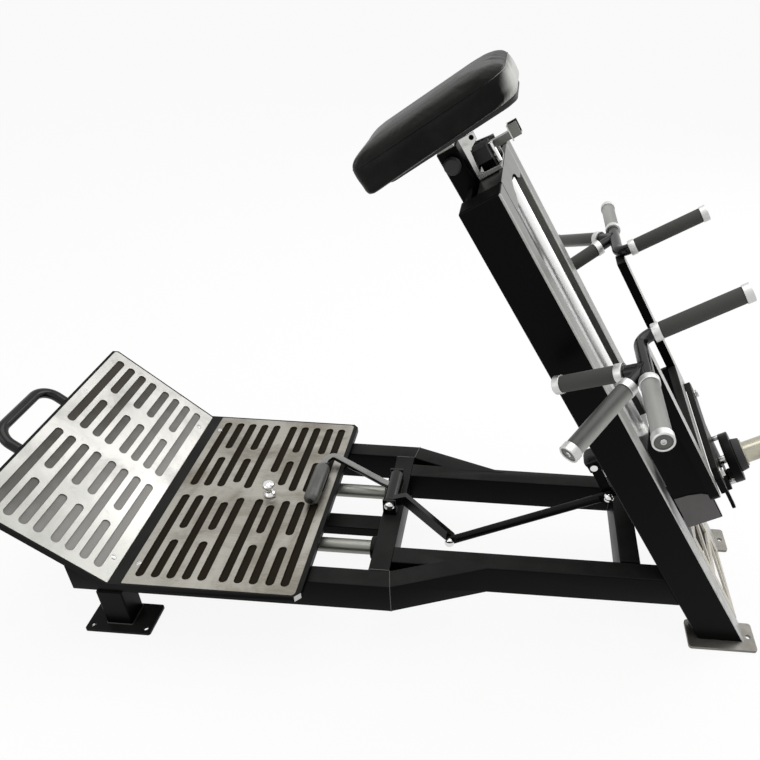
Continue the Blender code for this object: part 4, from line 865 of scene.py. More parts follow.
@dataclass
class BaseFrame(SubAssembly):
    """Welded base: side rails, cross tubes, rear legs with their feet and anchor bolts."""

    low: float = 0.119
    top: float = 0.2035
    rail: float = 0.050
    wide_y: float = 0.2351
    narrow_y: float = 0.1572
    wide_left: float = -0.643
    splay: Pair = (0.1191, 0.3364)
    cross_x: Pair = (0.060, 0.110)
    rear_cross_x: Pair = (-0.600, -0.550)
    mast_cross_x: Pair = (0.652, 0.701)
    foot: float = 0.008
    rod_y: float = 0.102
    rod_z: float = 0.162
    rod_r: float = 0.018
    seat_r: float = 0.028
    leg_x: Pair = (-0.588, -0.525)
    leg_y: Pair = (0.205, 0.265)
    plate_x: Pair = (-0.634, -0.473)
    plate_y: Pair = (0.199, 0.287)
    bolt_x: Pair = (-0.619, -0.488)
    bolt_y: float = 0.272
    bolt_hole: float = 0.006

    def build(self) -> None:
        """Makes the group's pieces."""
        for side, label in SIDES:
            self.rail_piece(side, label)
            self.leg(side, label)
        self.cross_tubes()
        self.slide()

    def section(self, trim: float = 0.0) -> list[Pair]:
        """Section of the rectangular tube."""
        half = 0.5 * (self.top - self.low) - trim
        return rounded((-0.5 * self.rail, 0.5 * self.rail), (-half, half), 0.004, 4)

    def rail_piece(self, side: float, label: str) -> None:
        """Side rail: wide run, splay and narrow run to the mast, with the weld beads at its bends."""
        middle = 0.5 * (self.low + self.top)
        splay = atan2(self.wide_y - self.narrow_y, self.splay[1] - self.splay[0])
        turn_x = self.splay[0] - 0.5 * self.rail * tan(0.5 * splay)
        way = Vector((cos(splay), -side * sin(splay), 0.0))
        turn = Vector((turn_x, side * self.wide_y, middle))
        reach = (self.wide_y - self.narrow_y - 0.25 * self.rail) / sin(splay)
        shape = Shape().sweep(self.section(),
                              [(self.wide_left, side * self.wide_y, middle), turn, turn + way * reach],
                              end_cut=(0.0, -side, 0.0))
        low = Place.mast_point(-Mast.depth_low, 0.0)
        high = Place.mast_point(-Mast.depth_top, MAST_H)
        back = Vector((high[0] - low[0], 0.0, high[1] - low[1])).normalized()
        end_x = low[0] + back.x / back.z * (middle - low[1]) - GAP
        narrow = Shape().sweep(self.section(0.0004), [(self.cross_x[1] + GAP, side * self.narrow_y, middle),
                                                      (end_x, side * self.narrow_y, middle)],
                               end_cut=(back.z, 0.0, -back.x))
        self.add(f"side_rail_{label}_welded", shape, BLACK, f"side_rail_{label}", joins=(narrow,))
        across = Vector((-0.5 * self.rail * tan(0.5 * splay), -side * 0.5 * self.rail, 0.0))
        rise = Vector((0.0, 0.0, 0.5 * (self.top - self.low)))
        corner = turn - across
        welds = Shape().seam([turn + across + rise, corner + rise * 0.985, corner - rise * 0.97])
        for span, half in ((self.cross_x, self.wide_y), (self.mast_cross_x, self.narrow_y)):
            y = side * (half - 0.5 * self.rail)
            for x in span:
                welds.seam([(x, y, self.top - 0.003), (x, y, self.low + 0.004)])
        y = side * (self.wide_y - 0.5 * self.rail)
        welds.seam([(x, y, self.top) for x in self.cross_x])
        self.add(f"rail_welds_{label}", welds, SEAM)

    def leg(self, side: float, label: str) -> None:
        """Rear post on its foot plate, with two bolt holes and one anchor bolt."""
        y = mirrored(side, *self.leg_y)
        post = Shape().prism(rounded(self.leg_x, y, 0.004, 4), 0.5 * self.foot, self.low - GAP, Across.Z)
        foot = rounded(self.plate_x, mirrored(side, *self.plate_y), 0.006, 5)
        holes = Shape()
        for x in self.bolt_x:
            holes.prism(circle(self.bolt_hole, 24, (x, side * self.bolt_y)), -0.01, self.foot + 0.01,
                        Across.Z)
        self.add(f"rear_leg_{label}_welded", post, BLACK, f"rear_leg_{label}",
                 joins=(Shape().prism(foot, 0.0, self.foot, Across.Z),), cuts=(holes,), bevel=0.0008,
                 segments=2)
        (left, right), (low, high) = self.leg_x, y
        corners = [(left, low), (right, low), (right, high), (left, high), (left, low)]
        welds = Shape().seam([(*corner, self.foot) for corner in corners], 0.002, 0.003)
        self.add(f"leg_welds_{label}", welds, SEAM)
        bolt = Shape().turned(self.hexagon_profile(0.0040, 0.0030, 0.5 * self.foot),
                              (self.bolt_x[0], side * self.bolt_y, 0.0), Z_WAY, 6)
        self.add(f"anchor_bolt_{label}", bolt, BOLT, bevel=0.0003, segments=2)

    def cross_tubes(self) -> None:
        """Front, rear and mast cross tubes; the first two carry the seats of the slide rods."""
        low, high = self.rear_cross_x[1], self.cross_x[0]
        self.cross_tube("front_cross_tube", self.cross_x, self.wide_y, (high - 0.014, high + 0.004),
                        (high - 0.024, high))
        self.cross_tube("rear_cross_tube", self.rear_cross_x, self.wide_y, (low - 0.004, low + 0.014),
                        (low, low + 0.024))
        self.cross_tube("mast_cross_tube", self.mast_cross_x, self.narrow_y)

    def cross_tube(self, name: str, span: Pair, half: float, *ends: Pair) -> None:
        """One cross tube between the rails.

        Args:
            name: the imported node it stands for.
            span: its limits along the machine.
            half: the rails' distance from the middle plane.
            ends: limits of a slide rod's seat and of the hole in it, if rods end here.
        """
        reach = half - 0.5 * self.rail - GAP
        shape = Shape().prism(rounded(span, (self.low, self.top), 0.004, 4), -reach, reach)
        joins, cuts = [], []
        for side, _ in SIDES if ends else ():
            foot = (0.0, side * self.rod_y, self.rod_z)
            joins.append(Shape().turned(disc(self.seat_r, *ends[0], 0.002), foot, X_WAY))
            cuts.append(Shape().turned(disc(self.rod_r + GAP, *ends[1]), foot, X_WAY))
        self.add(f"{name}_welded", shape, BLACK, name, joins=tuple(joins), cuts=tuple(cuts))

    def slide(self) -> None:
        """Chrome rods that the platform runs on."""
        rod = disc(self.rod_r, self.rear_cross_x[1] + GAP, self.cross_x[0] - GAP, 0.001)
        for side, label in SIDES:
            shape = Shape().turned(rod, (0.0, side * self.rod_y, self.rod_z), X_WAY)
            self.add(f"slide_rod_{label}_chrome", shape, ROD_CHROME, f"slide_rod_{label}")
        self.keep(BLACK, "lock_beam")


@dataclass
class Mast(SubAssembly):
    """Leaning mast: posts, lattice plate, top plate, guide rod, bracket, and the chest support's sleeve."""

    post_y: Pair = (0.123, 0.1837)
    depth_low: float = 0.098
    depth_top: float = 0.081
    foot: float = 0.008
    plate_x: Pair = (0.839, 1.005)
    plate_y: Pair = (0.126, 0.209)
    bolt: Pair = (0.990, 0.1675)
    rod_t: float = -0.012
    rod_r: float = 0.015
    rod: Pair = (0.395, 1.2397)
    lattice: Pair = (0.020, 0.330)
    lattice_shrink: float = 0.76
    low_head: Pair = (0.3305, 0.3947)
    stop_r: float = 0.030
    stop_top: float = 0.432
    ledge: float = 0.026
    arch: Pair = (0.050, 0.018)
    bracket_t: Pair = (-0.048, -0.0008)
    bracket_half: float = 0.0445
    bracket_wall: float = 0.004
    bracket_bend: float = 0.010
    bracket_top: float = 1.357
    sleeve_t: Pair = (-0.098, -0.057)
    sleeve_half: float = 0.040
    sleeve_wall: float = 0.0035
    sleeve_s: Pair = (1.060, 1.350)

    def build(self) -> None:
        """Makes the group's pieces."""
        for side, label in SIDES:
            self.post(side, label)
        self.lattice_plate()
        self.top_plate()
        self.guide()
        self.bracket()
        self.sleeve()

    def post(self, side: float, label: str) -> None:
        """Post with its foot plate, whose toe carries one bolt hole."""
        floor = 0.5 * self.foot
        heel = (floor + sin(LEAN) * self.depth_low) / cos(LEAN)
        heel_t = -self.depth_low + (self.depth_low - self.depth_top) * heel / MAST_H
        heel = (floor - sin(LEAN) * heel_t) / cos(LEAN)
        outline = [(0.0, floor / cos(LEAN)), (0.0, MAST_H), (-self.depth_top, MAST_H), (heel_t, heel)]
        # Painted light: a reflection on the front faces, a highlight on the near front edges, shade on the
        # tops, and on the far post's inner face light above and shade below.
        accents = ((FRONT_REFLECTION, X_WAY, 0.9), (EDGE_HIGHLIGHT, (0.7, -0.7, 0.0), 0.8), (SHADE_BLACK, Z_WAY, 0.8),
                   (INNER, (0.0, -1.0, 0.0), 0.95))
        self.add(f"mast_post_{label}_tube", Shape().prism(outline, *mirrored(side, *self.post_y)), BLACK,
                 f"mast_post_{label}", bevel=0.004, segments=4,
                 accents=accents[:3] if side < 0.0 else accents)
        bolt_hole = circle(BaseFrame.bolt_hole, 24, (self.bolt[0], side * self.bolt[1]))
        hole = Shape().prism(bolt_hole, -0.01, self.foot + 0.01, Across.Z)
        plate = rounded(self.plate_x, mirrored(side, *self.plate_y), 0.008, 6)
        self.add(f"mast_foot_{label}", Shape().prism(plate, 0.0, self.foot, Across.Z), PALE_PLATE,
                 place=self.place.machine, cuts=(hole,), bevel=0.0008, segments=2)

    def lattice_plate(self) -> None:
        """Plate with triangular openings between the posts' feet, and the lower crosshead."""
        inner = self.post_y[0] - GAP
        holes = Shape()
        reach, low, high = inner - 0.014, self.lattice[0] + 0.018, self.lattice[1] - 0.014
        step = 0.25 * (high - low)
        left = [(-reach, high), (-reach, high - 2.0 * step), (-reach, low)]
        right = [(reach, high), (reach, high - step), (reach, low + step), (reach, low)]
        for group in ((left[0], left[1], right[1]), (left[0], right[0], right[1]),
                      (left[1], right[1], right[2]), (left[1], left[2], right[2]),
                      (left[2], right[2], right[3])):
            middle = (sum(p[0] for p in group) / 3.0, sum(p[1] for p in group) / 3.0)
            shrunk = [tuple(m + self.lattice_shrink * (c - m) for c, m in zip(p, middle)) for p in group]
            holes.prism(shrunk, -0.02, 0.02, Across.X)
        plate = Shape().prism(rounded((-inner, inner), self.lattice, 0.006, 4), -0.006, 0.0, Across.X)
        # The plate's cream colour is a painted reflection on its black coat.
        self.add("mast_lattice", plate, CREAM_AND_REFLECTION, "mast_lattice_plate", cuts=(holes,), bevel=0.0006, segments=2)
        head = Shape().block((-0.045, -0.0002), (-inner, inner), self.low_head)
        self.add("lower_crosshead", head, BLACK, bevel=0.0015)

    def top_plate(self) -> None:
        """Plate across the posts' tops with its arched lower edge, and the upper crosshead behind it."""
        inner, high = self.post_y[0] - GAP, self.rod[1]
        low, (reach, fall) = high - self.ledge, self.arch
        arch = [(reach * sin(a), high + 0.0025 - fall * (1.0 - cos(a))) for a in arc(0.0, 0.5 * pi, 10)]
        outline = both_halves([(inner, MAST_H), (inner, low), (0.080, low), *arch[::-1]])
        # Its front face carries the painted reflection.
        self.add("top_plate", Shape().prism(outline, -0.008, 0.0, Across.X), BLACK, "mast_top_plate",
                 bevel=0.0008, segments=2, accents=((FRONT_REFLECTION, X_WAY, 0.9),))
        head = Shape().block((-0.050, -0.0083), (-inner, inner), (high + GAP, MAST_H - 0.002))
        self.add("upper_crosshead", head, BLACK, bevel=0.0015)

    def guide(self) -> None:
        """Chrome guide rod and the rubber ring that stops the carriage."""
        foot = (self.rod_t, 0.0, 0.0)
        self.add("guide_rod_chrome", Shape().turned(disc(self.rod_r, *self.rod, 0.001), foot, Z_WAY),
                 GUIDE_CHROME, "guide_rod")
        profile = ring(self.rod_r + 0.0005, self.stop_r, self.rod[0] + GAP, self.stop_top - GAP, 0.005)
        self.add("stop_ring_rubber", Shape().turned(profile, foot, Z_WAY, closed=True), RUBBER, "stop_ring")

    def bracket(self) -> None:
        """Zinc bracket on the mast's top, with its clip and rubber block."""
        low, wall, half = MAST_H + 0.0004, self.bracket_wall, self.bracket_half
        high, r = self.bracket_top, self.bracket_bend
        turns = arc(0.0, 0.5 * pi, 6)[::-1]
        bend = [(half - wall - r + r * cos(a), low + wall + r - r * sin(a)) for a in turns]
        outline = both_halves([*bend, (half - wall, high), (half, high), (half, low)])
        near = Shape().prism([(-0.016, high + 0.01), (-0.017, high - 0.014), (-0.037, high - 0.026),
                              (-0.041, low + 0.012), (-0.036, low + 0.009), (0.01, low + 0.007),
                              (0.01, high + 0.01)], -2.0 * half, 0.0)
        far = Shape().prism([(-0.06, high + 0.01), (-0.06, high - 0.030), (-0.006, high - 0.036),
                             (0.01, high - 0.036), (0.01, high + 0.01)], 0.0, 2.0 * half)
        ear = (-0.0245, high - 0.007)
        hole = Shape().prism(circle(0.0045, 24, ear), -2.2 * half, 2.2 * half)
        # Painted shade on the bracket, with the zinc's lit colour on the faces that look near and up.
        self.add("top_bracket", Shape().prism(outline, *self.bracket_t, Across.X), SHADED_ZINC,
                 "mast_top_bracket", cuts=(near, far, hole), bevel=0.0005, segments=2,
                 accents=((ZINC, (0.0, -1.0, 0.0), 0.9), (ZINC, (0.0, -0.5, 0.5), 0.95)))
        # Dark plug in the ear's hole: painted shade.
        self.add("ear_hole_shade_plug", Shape().turned(disc(0.0046, -half + 0.0008, -half + 0.003),
                                              (ear[0], 0.0, ear[1]), Y_WAY, 24), SHADE_BLACK)
        rise = low + 0.0296
        channel = both_halves([(0.0106, rise + 0.003), (0.0106, rise + 0.025), (0.0136, rise + 0.025),
                               (0.0136, rise)])
        bar = Shape().block((-0.012, 0.0350), (0.006, 0.022), (rise - 0.003, rise + 0.011))
        # The clip is painted in shade; its front face carries the zinc's lit colour.
        self.add("top_clip", Shape().prism(channel, 0.0345, 0.0536, Across.X), SHADED_ZINC, joins=(bar,),
                 bevel=0.0005, segments=2)
        self.add("clip_face",
                 Shape().block((0.0338, 0.0362), (-0.0145, 0.0145), (rise - 0.004, rise + 0.0255)), ZINC,
                 bevel=0.0004, segments=2)
        self.add("clip_stud", Shape().turned(disc(0.0055, low + wall, rise + 0.013, 0.001),
                                             (-0.006, -0.004, 0.0), Z_WAY, 28), CHROME)
        self.add("block_seat", Shape().block((-0.040, -0.014), (-0.010, 0.030), (low + wall, low + 0.024)),
                 BLACK)
        self.add("top_block",
                 Shape().prism(rounded((-0.0455, -0.011), (low + 0.0202, low + 0.0458), 0.002, 3), -0.030,
                               0.030), RUBBER, "top_rubber_block", bevel=0.0008)

    def sleeve(self) -> None:
        """Fixed square sleeve of the chest support, tied to the posts, and the latch's bracket behind it."""
        t, s, half, wall = self.sleeve_t, self.sleeve_s, self.sleeve_half, self.sleeve_wall
        shape = Shape().prism(rounded(t, (-half, half), 0.005, 5), *s, Across.Z)
        ties = Shape()
        for side, _ in SIDES:
            y = mirrored(side, half - 0.5 * wall, self.post_y[0] - GAP)
            for start in (s[0] + 0.006, MAST_H - 0.042):
                ties.block((-0.078, -0.066), y, (start, start + 0.036))
        hollow = Shape().prism(rounded((t[0] + wall, t[1] - wall), (-half + wall, half - wall), 0.003, 4),
                               s[0] - 0.01, s[1] + 0.01, Across.Z)
        way = Shape().turned(disc(0.0053, -half - 0.01, -half + wall + 0.002),
                             (0.5 * sum(t), 0.0, ChestSupport.pin[2]), Y_WAY, 24)
        self.add("chest_sleeve", shape, BLACK, "chest_post_sleeve", joins=(ties,), cuts=(hollow, way))
        self.keep(BLACK, "latch_bracket")
        self.keep(CHROME, "latch_axle")


class Run(Enum):
    """How the slots of one column are laid out across a plate, as spans of |y| for near and far halves."""

    LONG = (((0.0185, 0.295),), ((0.0185, 0.295),))
    SHORT = (((0.0185, 0.138), (0.176, 0.295)), ((0.0185, 0.138), (0.176, 0.295)))
    INNER = (((0.038, 0.138), (0.176, 0.295)), ((0.038, 0.138), (0.176, 0.295)))
    FAR_LONG = (((0.0185, 0.295),), ((0.088, 0.295),))


@dataclass
class FootPlatform(SubAssembly):
    """Folded base on its bearings, two slotted plates, pull handle, locking pin and screws."""

    half: float = 0.3175
    rim: float = 0.004
    deck: float = 0.222
    under: float = 0.206
    right: float = -0.070
    flat_x: Pair = (-0.474, -0.082)
    slope_length: float = 0.326
    pocket: float = 0.004
    slot: float = 0.020
    pin_x: float = -0.235
    corner: float = 0.010
    fold_corner: float = 0.003
    pin_hole: float = 0.007
    handle_y: Pair = (-0.128, 0.066)
    handle_out: float = 0.058
    handle_bend: float = 0.040
    barrel_top: float = 0.018
    flat: tuple = ((-0.445, Run.LONG), (-0.409, Run.SHORT), (-0.3735, Run.LONG), (-0.338, Run.INNER),
                   (-0.3025, Run.LONG), (-0.2535, Run.FAR_LONG), (-0.219, Run.INNER), (-0.1845, Run.LONG),
                   (-0.147, Run.SHORT), (-0.1125, Run.LONG))
    steep: tuple = ((0.288, Run.LONG), (0.2545, Run.SHORT), (0.2195, Run.LONG), (0.186, Run.SHORT),
                    (0.145, Run.SHORT), (0.111, Run.LONG), (0.076, Run.SHORT), (0.041, Run.LONG))

    def build(self) -> None:
        """Makes the group's pieces."""
        self.base()
        self.plates()
        self.handle()
        self.pin()
        self.screws()
        self.keep(ALUMINIUM, "slide_bearing_near", "slide_bearing_far")

    def slope(self, distance: float, depth: float) -> Pair:
        """Machine x and z of a point up the raised panel and below its face."""
        return (FOLD[0] - cos(SLOPE) * distance - sin(SLOPE) * depth,
                FOLD[1] + sin(SLOPE) * distance - cos(SLOPE) * depth)

    def meets(self, depth: float, level: float) -> Pair:
        """Where a line below the raised panel reaches a level."""
        return self.slope((level - FOLD[1] + depth * cos(SLOPE)) / sin(SLOPE), depth)

    def level_outline(self, grow: float = 0.0) -> list[Pair]:
        """Outline of the level plate, or of the pocket round it."""
        half = self.half + grow
        corners = [self.fold_corner, self.corner, self.corner, self.fold_corner]
        return rounded((self.flat_x[0] - grow, self.flat_x[1] + grow), (-half, half), corners)

    def raised_outline(self, grow: float = 0.0) -> list[Pair]:
        """Outline of the raised plate, or of the pocket round it."""
        half = self.half + grow
        corners = [self.corner, self.fold_corner, self.fold_corner, self.corner]
        return rounded((-self.slope_length + 0.006 - grow, -0.0015 + grow), (-half, half), corners)

    def corner_cut(self, side: float, end: float, out: float) -> list[Pair]:
        """Triangle that takes an outer corner off the base at a panel's end; `out` leads away from it."""
        half = self.half + self.rim
        return [(end + 0.01 * out, side * (half - 0.022)), (end + 0.01 * out, side * (half + 0.01)),
                (end - 0.022 * out, side * (half + 0.01))]

    def base(self) -> None:
        """Folded base with a pocket for each plate and chamfered outer corners."""
        thick, half = self.deck - self.under, self.half + self.rim
        outline = [(self.right, self.under), (self.right, self.deck), self.meets(0.0, self.deck),
                   self.slope(self.slope_length, 0.0), self.slope(self.slope_length, thick),
                   self.meets(thick, self.under)]
        top = self.deck + 0.01
        cuts = [Shape().prism(self.level_outline(GAP), self.deck - self.pocket, top, Across.Z),
                Shape().prism(circle(self.pin_hole, 24, (self.pin_x, 0.0)), 0.10, top, Across.Z)]
        tilt = Shape().prism(self.raised_outline(GAP), -self.pocket, 0.01, Across.Z)
        for side, _ in SIDES:
            corner = self.corner_cut(side, self.right, 1.0)
            cuts.append(Shape().prism(corner, self.under - 0.01, self.deck + 0.015, Across.Z))
            tilt.prism(self.corner_cut(side, -self.slope_length, -1.0), -thick - 0.02, 0.015, Across.Z)
        boss = Shape().turned(disc(0.013, 0.1525, self.under + 0.004), (self.pin_x, 0.0, 0.0), Z_WAY, 32)
        tilt.bm.transform(self.place.machine.inverted() @ self.place.panel)
        # The tray's near front edges carry a painted highlight.
        made = self.add("platform_tray", Shape().prism(outline, -half, half), BLACK, "platform_base",
                        joins=(boss,), cuts=(*cuts, tilt), bevel=0.0008, segments=2,
                        accents=((EDGE_HIGHLIGHT, (0.7, -0.7, 0.0), 0.97),))
        # The raised panel's pocket floor gets the painted reflection.
        made.data.materials.append(BACKING.material())
        made.data.materials.append(BACKING_REFLECTION.material())
        back = self.place.machine.inverted()
        for face in made.data.polygons:
            centre = back @ face.center
            level = abs(centre.z - (self.deck - self.pocket)) < 0.0002 and face.normal.z > 0.99
            x, z = centre.x - FOLD[0], centre.z - FOLD[1]
            depth = -(x * sin(SLOPE) + z * cos(SLOPE))
            if level and centre.x > FOLD[0]:
                face.material_index = 2
            elif abs(depth - self.pocket) < 0.0002 and centre.x < FOLD[0] and face.normal.x > 0.3:
                face.material_index = 3

    def slots(self, columns: tuple, flip: float, low: float, high: float) -> Shape:
        """Round-ended slots that run across a plate."""
        shape, half = Shape(), 0.5 * self.slot
        for x, run in columns:
            for side, spans in zip((-1.0, 1.0), run.value):
                for start, end in spans:
                    outline = rounded((flip * x - half, flip * x + half), mirrored(side, start, end),
                                      0.98 * half, 8)
                    shape.prism(outline, low, high, Across.Z)
        return shape

    def plates(self) -> None:
        """Slotted plates of the level and the raised panel."""
        low = -self.pocket + GAP
        slots = self.slots(self.flat, 1.0, self.deck - 0.01, self.deck + 0.01)
        slots.prism(circle(self.pin_hole, 24, (self.pin_x, 0.0)), self.deck - 0.01, self.deck + 0.01,
                    Across.Z)
        shape = Shape().prism(self.level_outline(), self.deck + low, self.deck, Across.Z)
        self.add("level_plate", shape, FLAT_STEEL, "flat_slotted_plate", cuts=(slots,), bevel=0.0005,
                 segments=2)
        shape = Shape().prism(self.raised_outline(), low, 0.0, Across.Z)
        self.add("raised_plate", shape, RAISED_STEEL, "raised_slotted_plate", place=self.place.panel,
                 cuts=(self.slots(self.steep, -1.0, -0.01, 0.01),), bevel=0.0005, segments=2)

    def handle(self) -> None:
        """Bent handle on the raised panel's edge."""
        near, far = self.handle_y
        edge, out = self.slope_length + GAP, self.slope_length + self.handle_out
        line = []
        for distance, y in ((edge, near), (out, near), (out, far), (edge, far)):
            x, z = self.slope(distance, 0.5 * (self.deck - self.under))
            line.append((x, y, z))
        shape = Shape().sweep(circle(BAR_R, 32), fillet(line, self.handle_bend, 14),
                              up=(sin(SLOPE), 0.0, cos(SLOPE)))
        self.add("pull_handle_bar", shape, GLOSS, "pull_handle")

    def pin(self) -> None:
        """Chrome barrel on the deck and the locking pin with its round knob."""
        foot, deck = (self.pin_x, 0.0, 0.0), self.deck
        barrel = [(0.0066, deck + GAP), (0.0125, deck + GAP), (0.0150, deck + 0.0020),
                  (0.0160, deck + 0.0048), (0.0150, deck + 0.0080), (0.0125, deck + 0.0105),
                  (0.0100, deck + 0.0125), (0.0092, deck + 0.0176), (0.0088, deck + self.barrel_top),
                  (0.0066, deck + self.barrel_top)]
        self.add("pin_barrel_chrome", Shape().turned(barrel, foot, Z_WAY, closed=True), CHROME, "pin_barrel")
        start, ball, flat, tip = deck + 0.019, 0.0160, 0.62, 0.1505
        middle = start + 0.0135
        knob = [(0.0, tip), (0.005, tip), (0.006, tip + 0.002), (0.006, start), (0.0085, start + 0.0005),
                (0.0085, start + 0.0035)]
        knob += [(ball * sin(a), middle - flat * ball * cos(a)) for a in arc(0.22 * pi, 0.78 * pi, 16)[:-1]]
        self.add("pin_knob_chrome", Shape().turned([*knob, (0.0, middle + flat * ball)], foot, Z_WAY), CHROME,
                 "platform_pin", body=Body.PLATFORM_PIN)

    def screws(self) -> None:
        """Countersunk screws that hold the plates down."""
        head = [(0.0, 0.0), (0.0066, 0.0), (0.0056, 0.0012), (0.0028, 0.0018), (0.0022, 0.0012),
                (0.0, 0.0012)]
        for name, place, x, y, level in (("level", self.place.machine, -0.4615, 0.2565, self.deck),
                                         ("raised", self.place.panel, -0.0205, 0.2535, 0.0)):
            shape = Shape()
            for side, _ in SIDES:
                shape.turned(head, (x, side * y, level), Z_WAY, 24)
            self.add(f"{name}_plate_screws", shape, BOLT, place=place)


@dataclass
class Carriage(SubAssembly):
    """Sliding frame: side plates, arms, web and crossbar, with the plate horn in front."""

    side_y: Pair = (0.173, 0.183)
    side_t: Pair = (0.013, 0.0865)
    side_s: Pair = (0.430, 0.605)
    arm_y: Pair = (0.173, 0.223)
    arm_t: Pair = (0.087, 0.107)
    arm_low: float = 0.508
    handle_s: float = 0.924
    horn_s: float = 0.421
    plate_t: Pair = (0.1073, 0.1213)
    sleeve_r: float = 0.025
    sleeve_end: float = 0.4164
    web_s: Pair = (0.668, 0.806)
    horn_y: Pair = (0.052, 0.182)
    horn_low: Pair = (0.490, 0.362)
    bolt: Pair = (0.150, 0.520)
    washer: float = 0.0018
    stud: float = 0.038
    flange: Pair = (0.1352, 0.157)

    def build(self) -> None:
        """Makes the group's pieces."""
        self.sliding_frame()
        self.horn_plate()
        self.horn()
        self.hanger()
        self.keep(ALUMINIUM, "carriage_bearing")

    def sliding_frame(self) -> None:
        """Crossbar and web, two arms with round lower ends and two side plates."""
        inner, weld = 0.178, 0.0004
        bar = Shape().prism(rounded(self.arm_t, (self.side_s[1] - 0.050, self.side_s[1]), 0.003, 3), -inner,
                            inner)
        web = Shape().block((self.side_t[0] + weld, self.side_t[0] + 0.0084), (-inner, inner),
                            (self.side_s[0] + 0.020, self.side_s[1] - 0.015))
        top = self.handle_s - BAR_R - GAP
        joins = [web]
        for side, label in SIDES:
            y = mirrored(side, *self.arm_y)
            half = 0.49 * (y[1] - y[0])
            joins.append(Shape().prism(rounded(y, (self.arm_low, top), [half, half, 0.002, 0.002], 12),
                                       self.arm_t[0] - weld, self.arm_t[1] - weld, Across.X))
            y = mirrored(side, *self.side_y)
            plate = rounded((self.side_t[0], self.arm_t[0] + 0.002), self.side_s,
                            [0.010, 0.002, 0.006, 0.010], 6)
            if side < 0.0:
                plate = [(self.side_t[0], self.side_s[0]), (self.arm_t[0] + 0.002, self.side_s[0]),
                         (self.arm_t[0] + 0.002, self.web_s[1]), (0.072, 0.790),
                         (self.side_t[0], self.web_s[0])]
            joins.append(Shape().prism(plate, y[0] + weld, y[1] - weld))
            # Thin patch on each side plate's lower outer face: painted reflection of the floor.
            patch_y = mirrored(side, self.side_y[1] - weld + 0.0001, self.side_y[1] + 0.0012)
            outline = [(0.014, self.side_s[0] + 0.001), (self.arm_t[0], self.side_s[0] + 0.001),
                       (self.arm_t[0], 0.500), (0.070, 0.512), (0.045, 0.519), (0.014, 0.521)]
            self.add(f"side_shoe_{label}", Shape().prism(outline, *patch_y), SIDE_PLATE_REFLECTION, bevel=0.0003, segments=2)
        # The frame's front faces carry a painted reflection.
        self.add("carriage_welded", bar, BLACK, "carriage_frame", joins=tuple(joins), bevel=0.0015,
                 accents=((ARM_FRONT_REFLECTION, X_WAY, 0.9),))

    def horn_plate(self) -> None:
        """Plate that carries the horn, with its bolts, the flange on four studs and the lower knob."""
        (tongue, wide), (low, foot), small, large = self.horn_y, self.horn_low, 0.012, 0.018
        top = self.side_s[1] - 0.055
        outline = both_halves([(wide - large, top), (wide, top - large), (wide, low), (tongue + small, low),
                               (tongue, low - small), (tongue, foot + small), (tongue - small, foot)])
        self.add("horn_plate_cut", Shape().prism(outline, *self.plate_t, Across.X), BLACK, "horn_plate",
                 bevel=0.0015)
        face, washer = self.plate_t[1] + GAP, self.washer
        bolts, washers = Shape(), Shape()
        for side, _ in SIDES:
            foot = (0.0, side * self.bolt[0], self.bolt[1])
            bolts.turned(self.hexagon_profile(0.0095, 0.0065, face + washer), foot, X_WAY, 6)
            washers.turned(disc(0.0125, face, face + washer, 0.0004), foot, X_WAY, 28)
        self.add("horn_plate_bolts", bolts, BOLT, bevel=0.0004, segments=2)
        self.add("horn_plate_washers", washers, ZINC)
        studs = Shape()
        stud = disc(0.006, face, self.flange[0] - 0.0002, 0.0004)
        for y in (-self.stud, self.stud):
            for s in (self.horn_s - self.stud, self.horn_s + self.stud):
                studs.turned(stud, (0.0, y, s), X_WAY, 24)
        self.add("horn_studs", studs, BOLT)
        self.add("horn_knob", Shape().turned(disc(0.017, face, face + 0.0115, 0.004),
                                             (0.0, 0.0, self.horn_s - 0.052), X_WAY), PLASTIC,
                 "horn_lower_knob")

    def horn(self) -> None:
        """Flange, rubber bumper, washer, chrome sleeve and end cap on one axis."""
        r, end = self.sleeve_r, self.sleeve_end
        stack = (("flange_disc", disc(0.060, *self.flange, 0.002), BLACK, ("horn_flange",)),
                 ("bumper_ring", [(0.0, 0.1573), (0.0385, 0.1573), (0.040, 0.159), (0.0372, 0.1735),
                                  (0.036, 0.175), (0.0, 0.175)], RUBBER, ("horn_bumper",)),
                 ("sleeve_washer", disc(0.0315, 0.1753, 0.1783, 0.0008), CREAM_AND_REFLECTION, ()),
                 ("sleeve_tube", [(0.0, 0.1785), (r, 0.1785), (r, end - 0.0075), (r - 0.0015, end - 0.006),
                                  (0.0, end - 0.006)], SLEEVE_CHROME, ("loading_sleeve",)),
                 ("sleeve_cap", disc(r - 0.001, end - 0.0057, end, 0.002), PLASTIC, ("sleeve_end_cap",)))
        for name, profile, finish, nodes in stack:
            self.add(name, Shape().turned(profile, (0.0, 0.0, self.horn_s), X_WAY, 64), finish, *nodes)

    def hanger(self) -> None:
        """Thin bar behind the horn plate, with its round nub."""
        nub = circle(0.010, 32, (0.0, 0.278), 0.5 * pi + 0.65)[:25]
        shape = Shape().prism([(0.006, 0.463), (-0.006, 0.463), *nub], 0.0985, self.plate_t[0] - GAP,
                              Across.X)
        self.add("hanger_strip", shape, BLACK, "hanger_bar", bevel=0.0012)


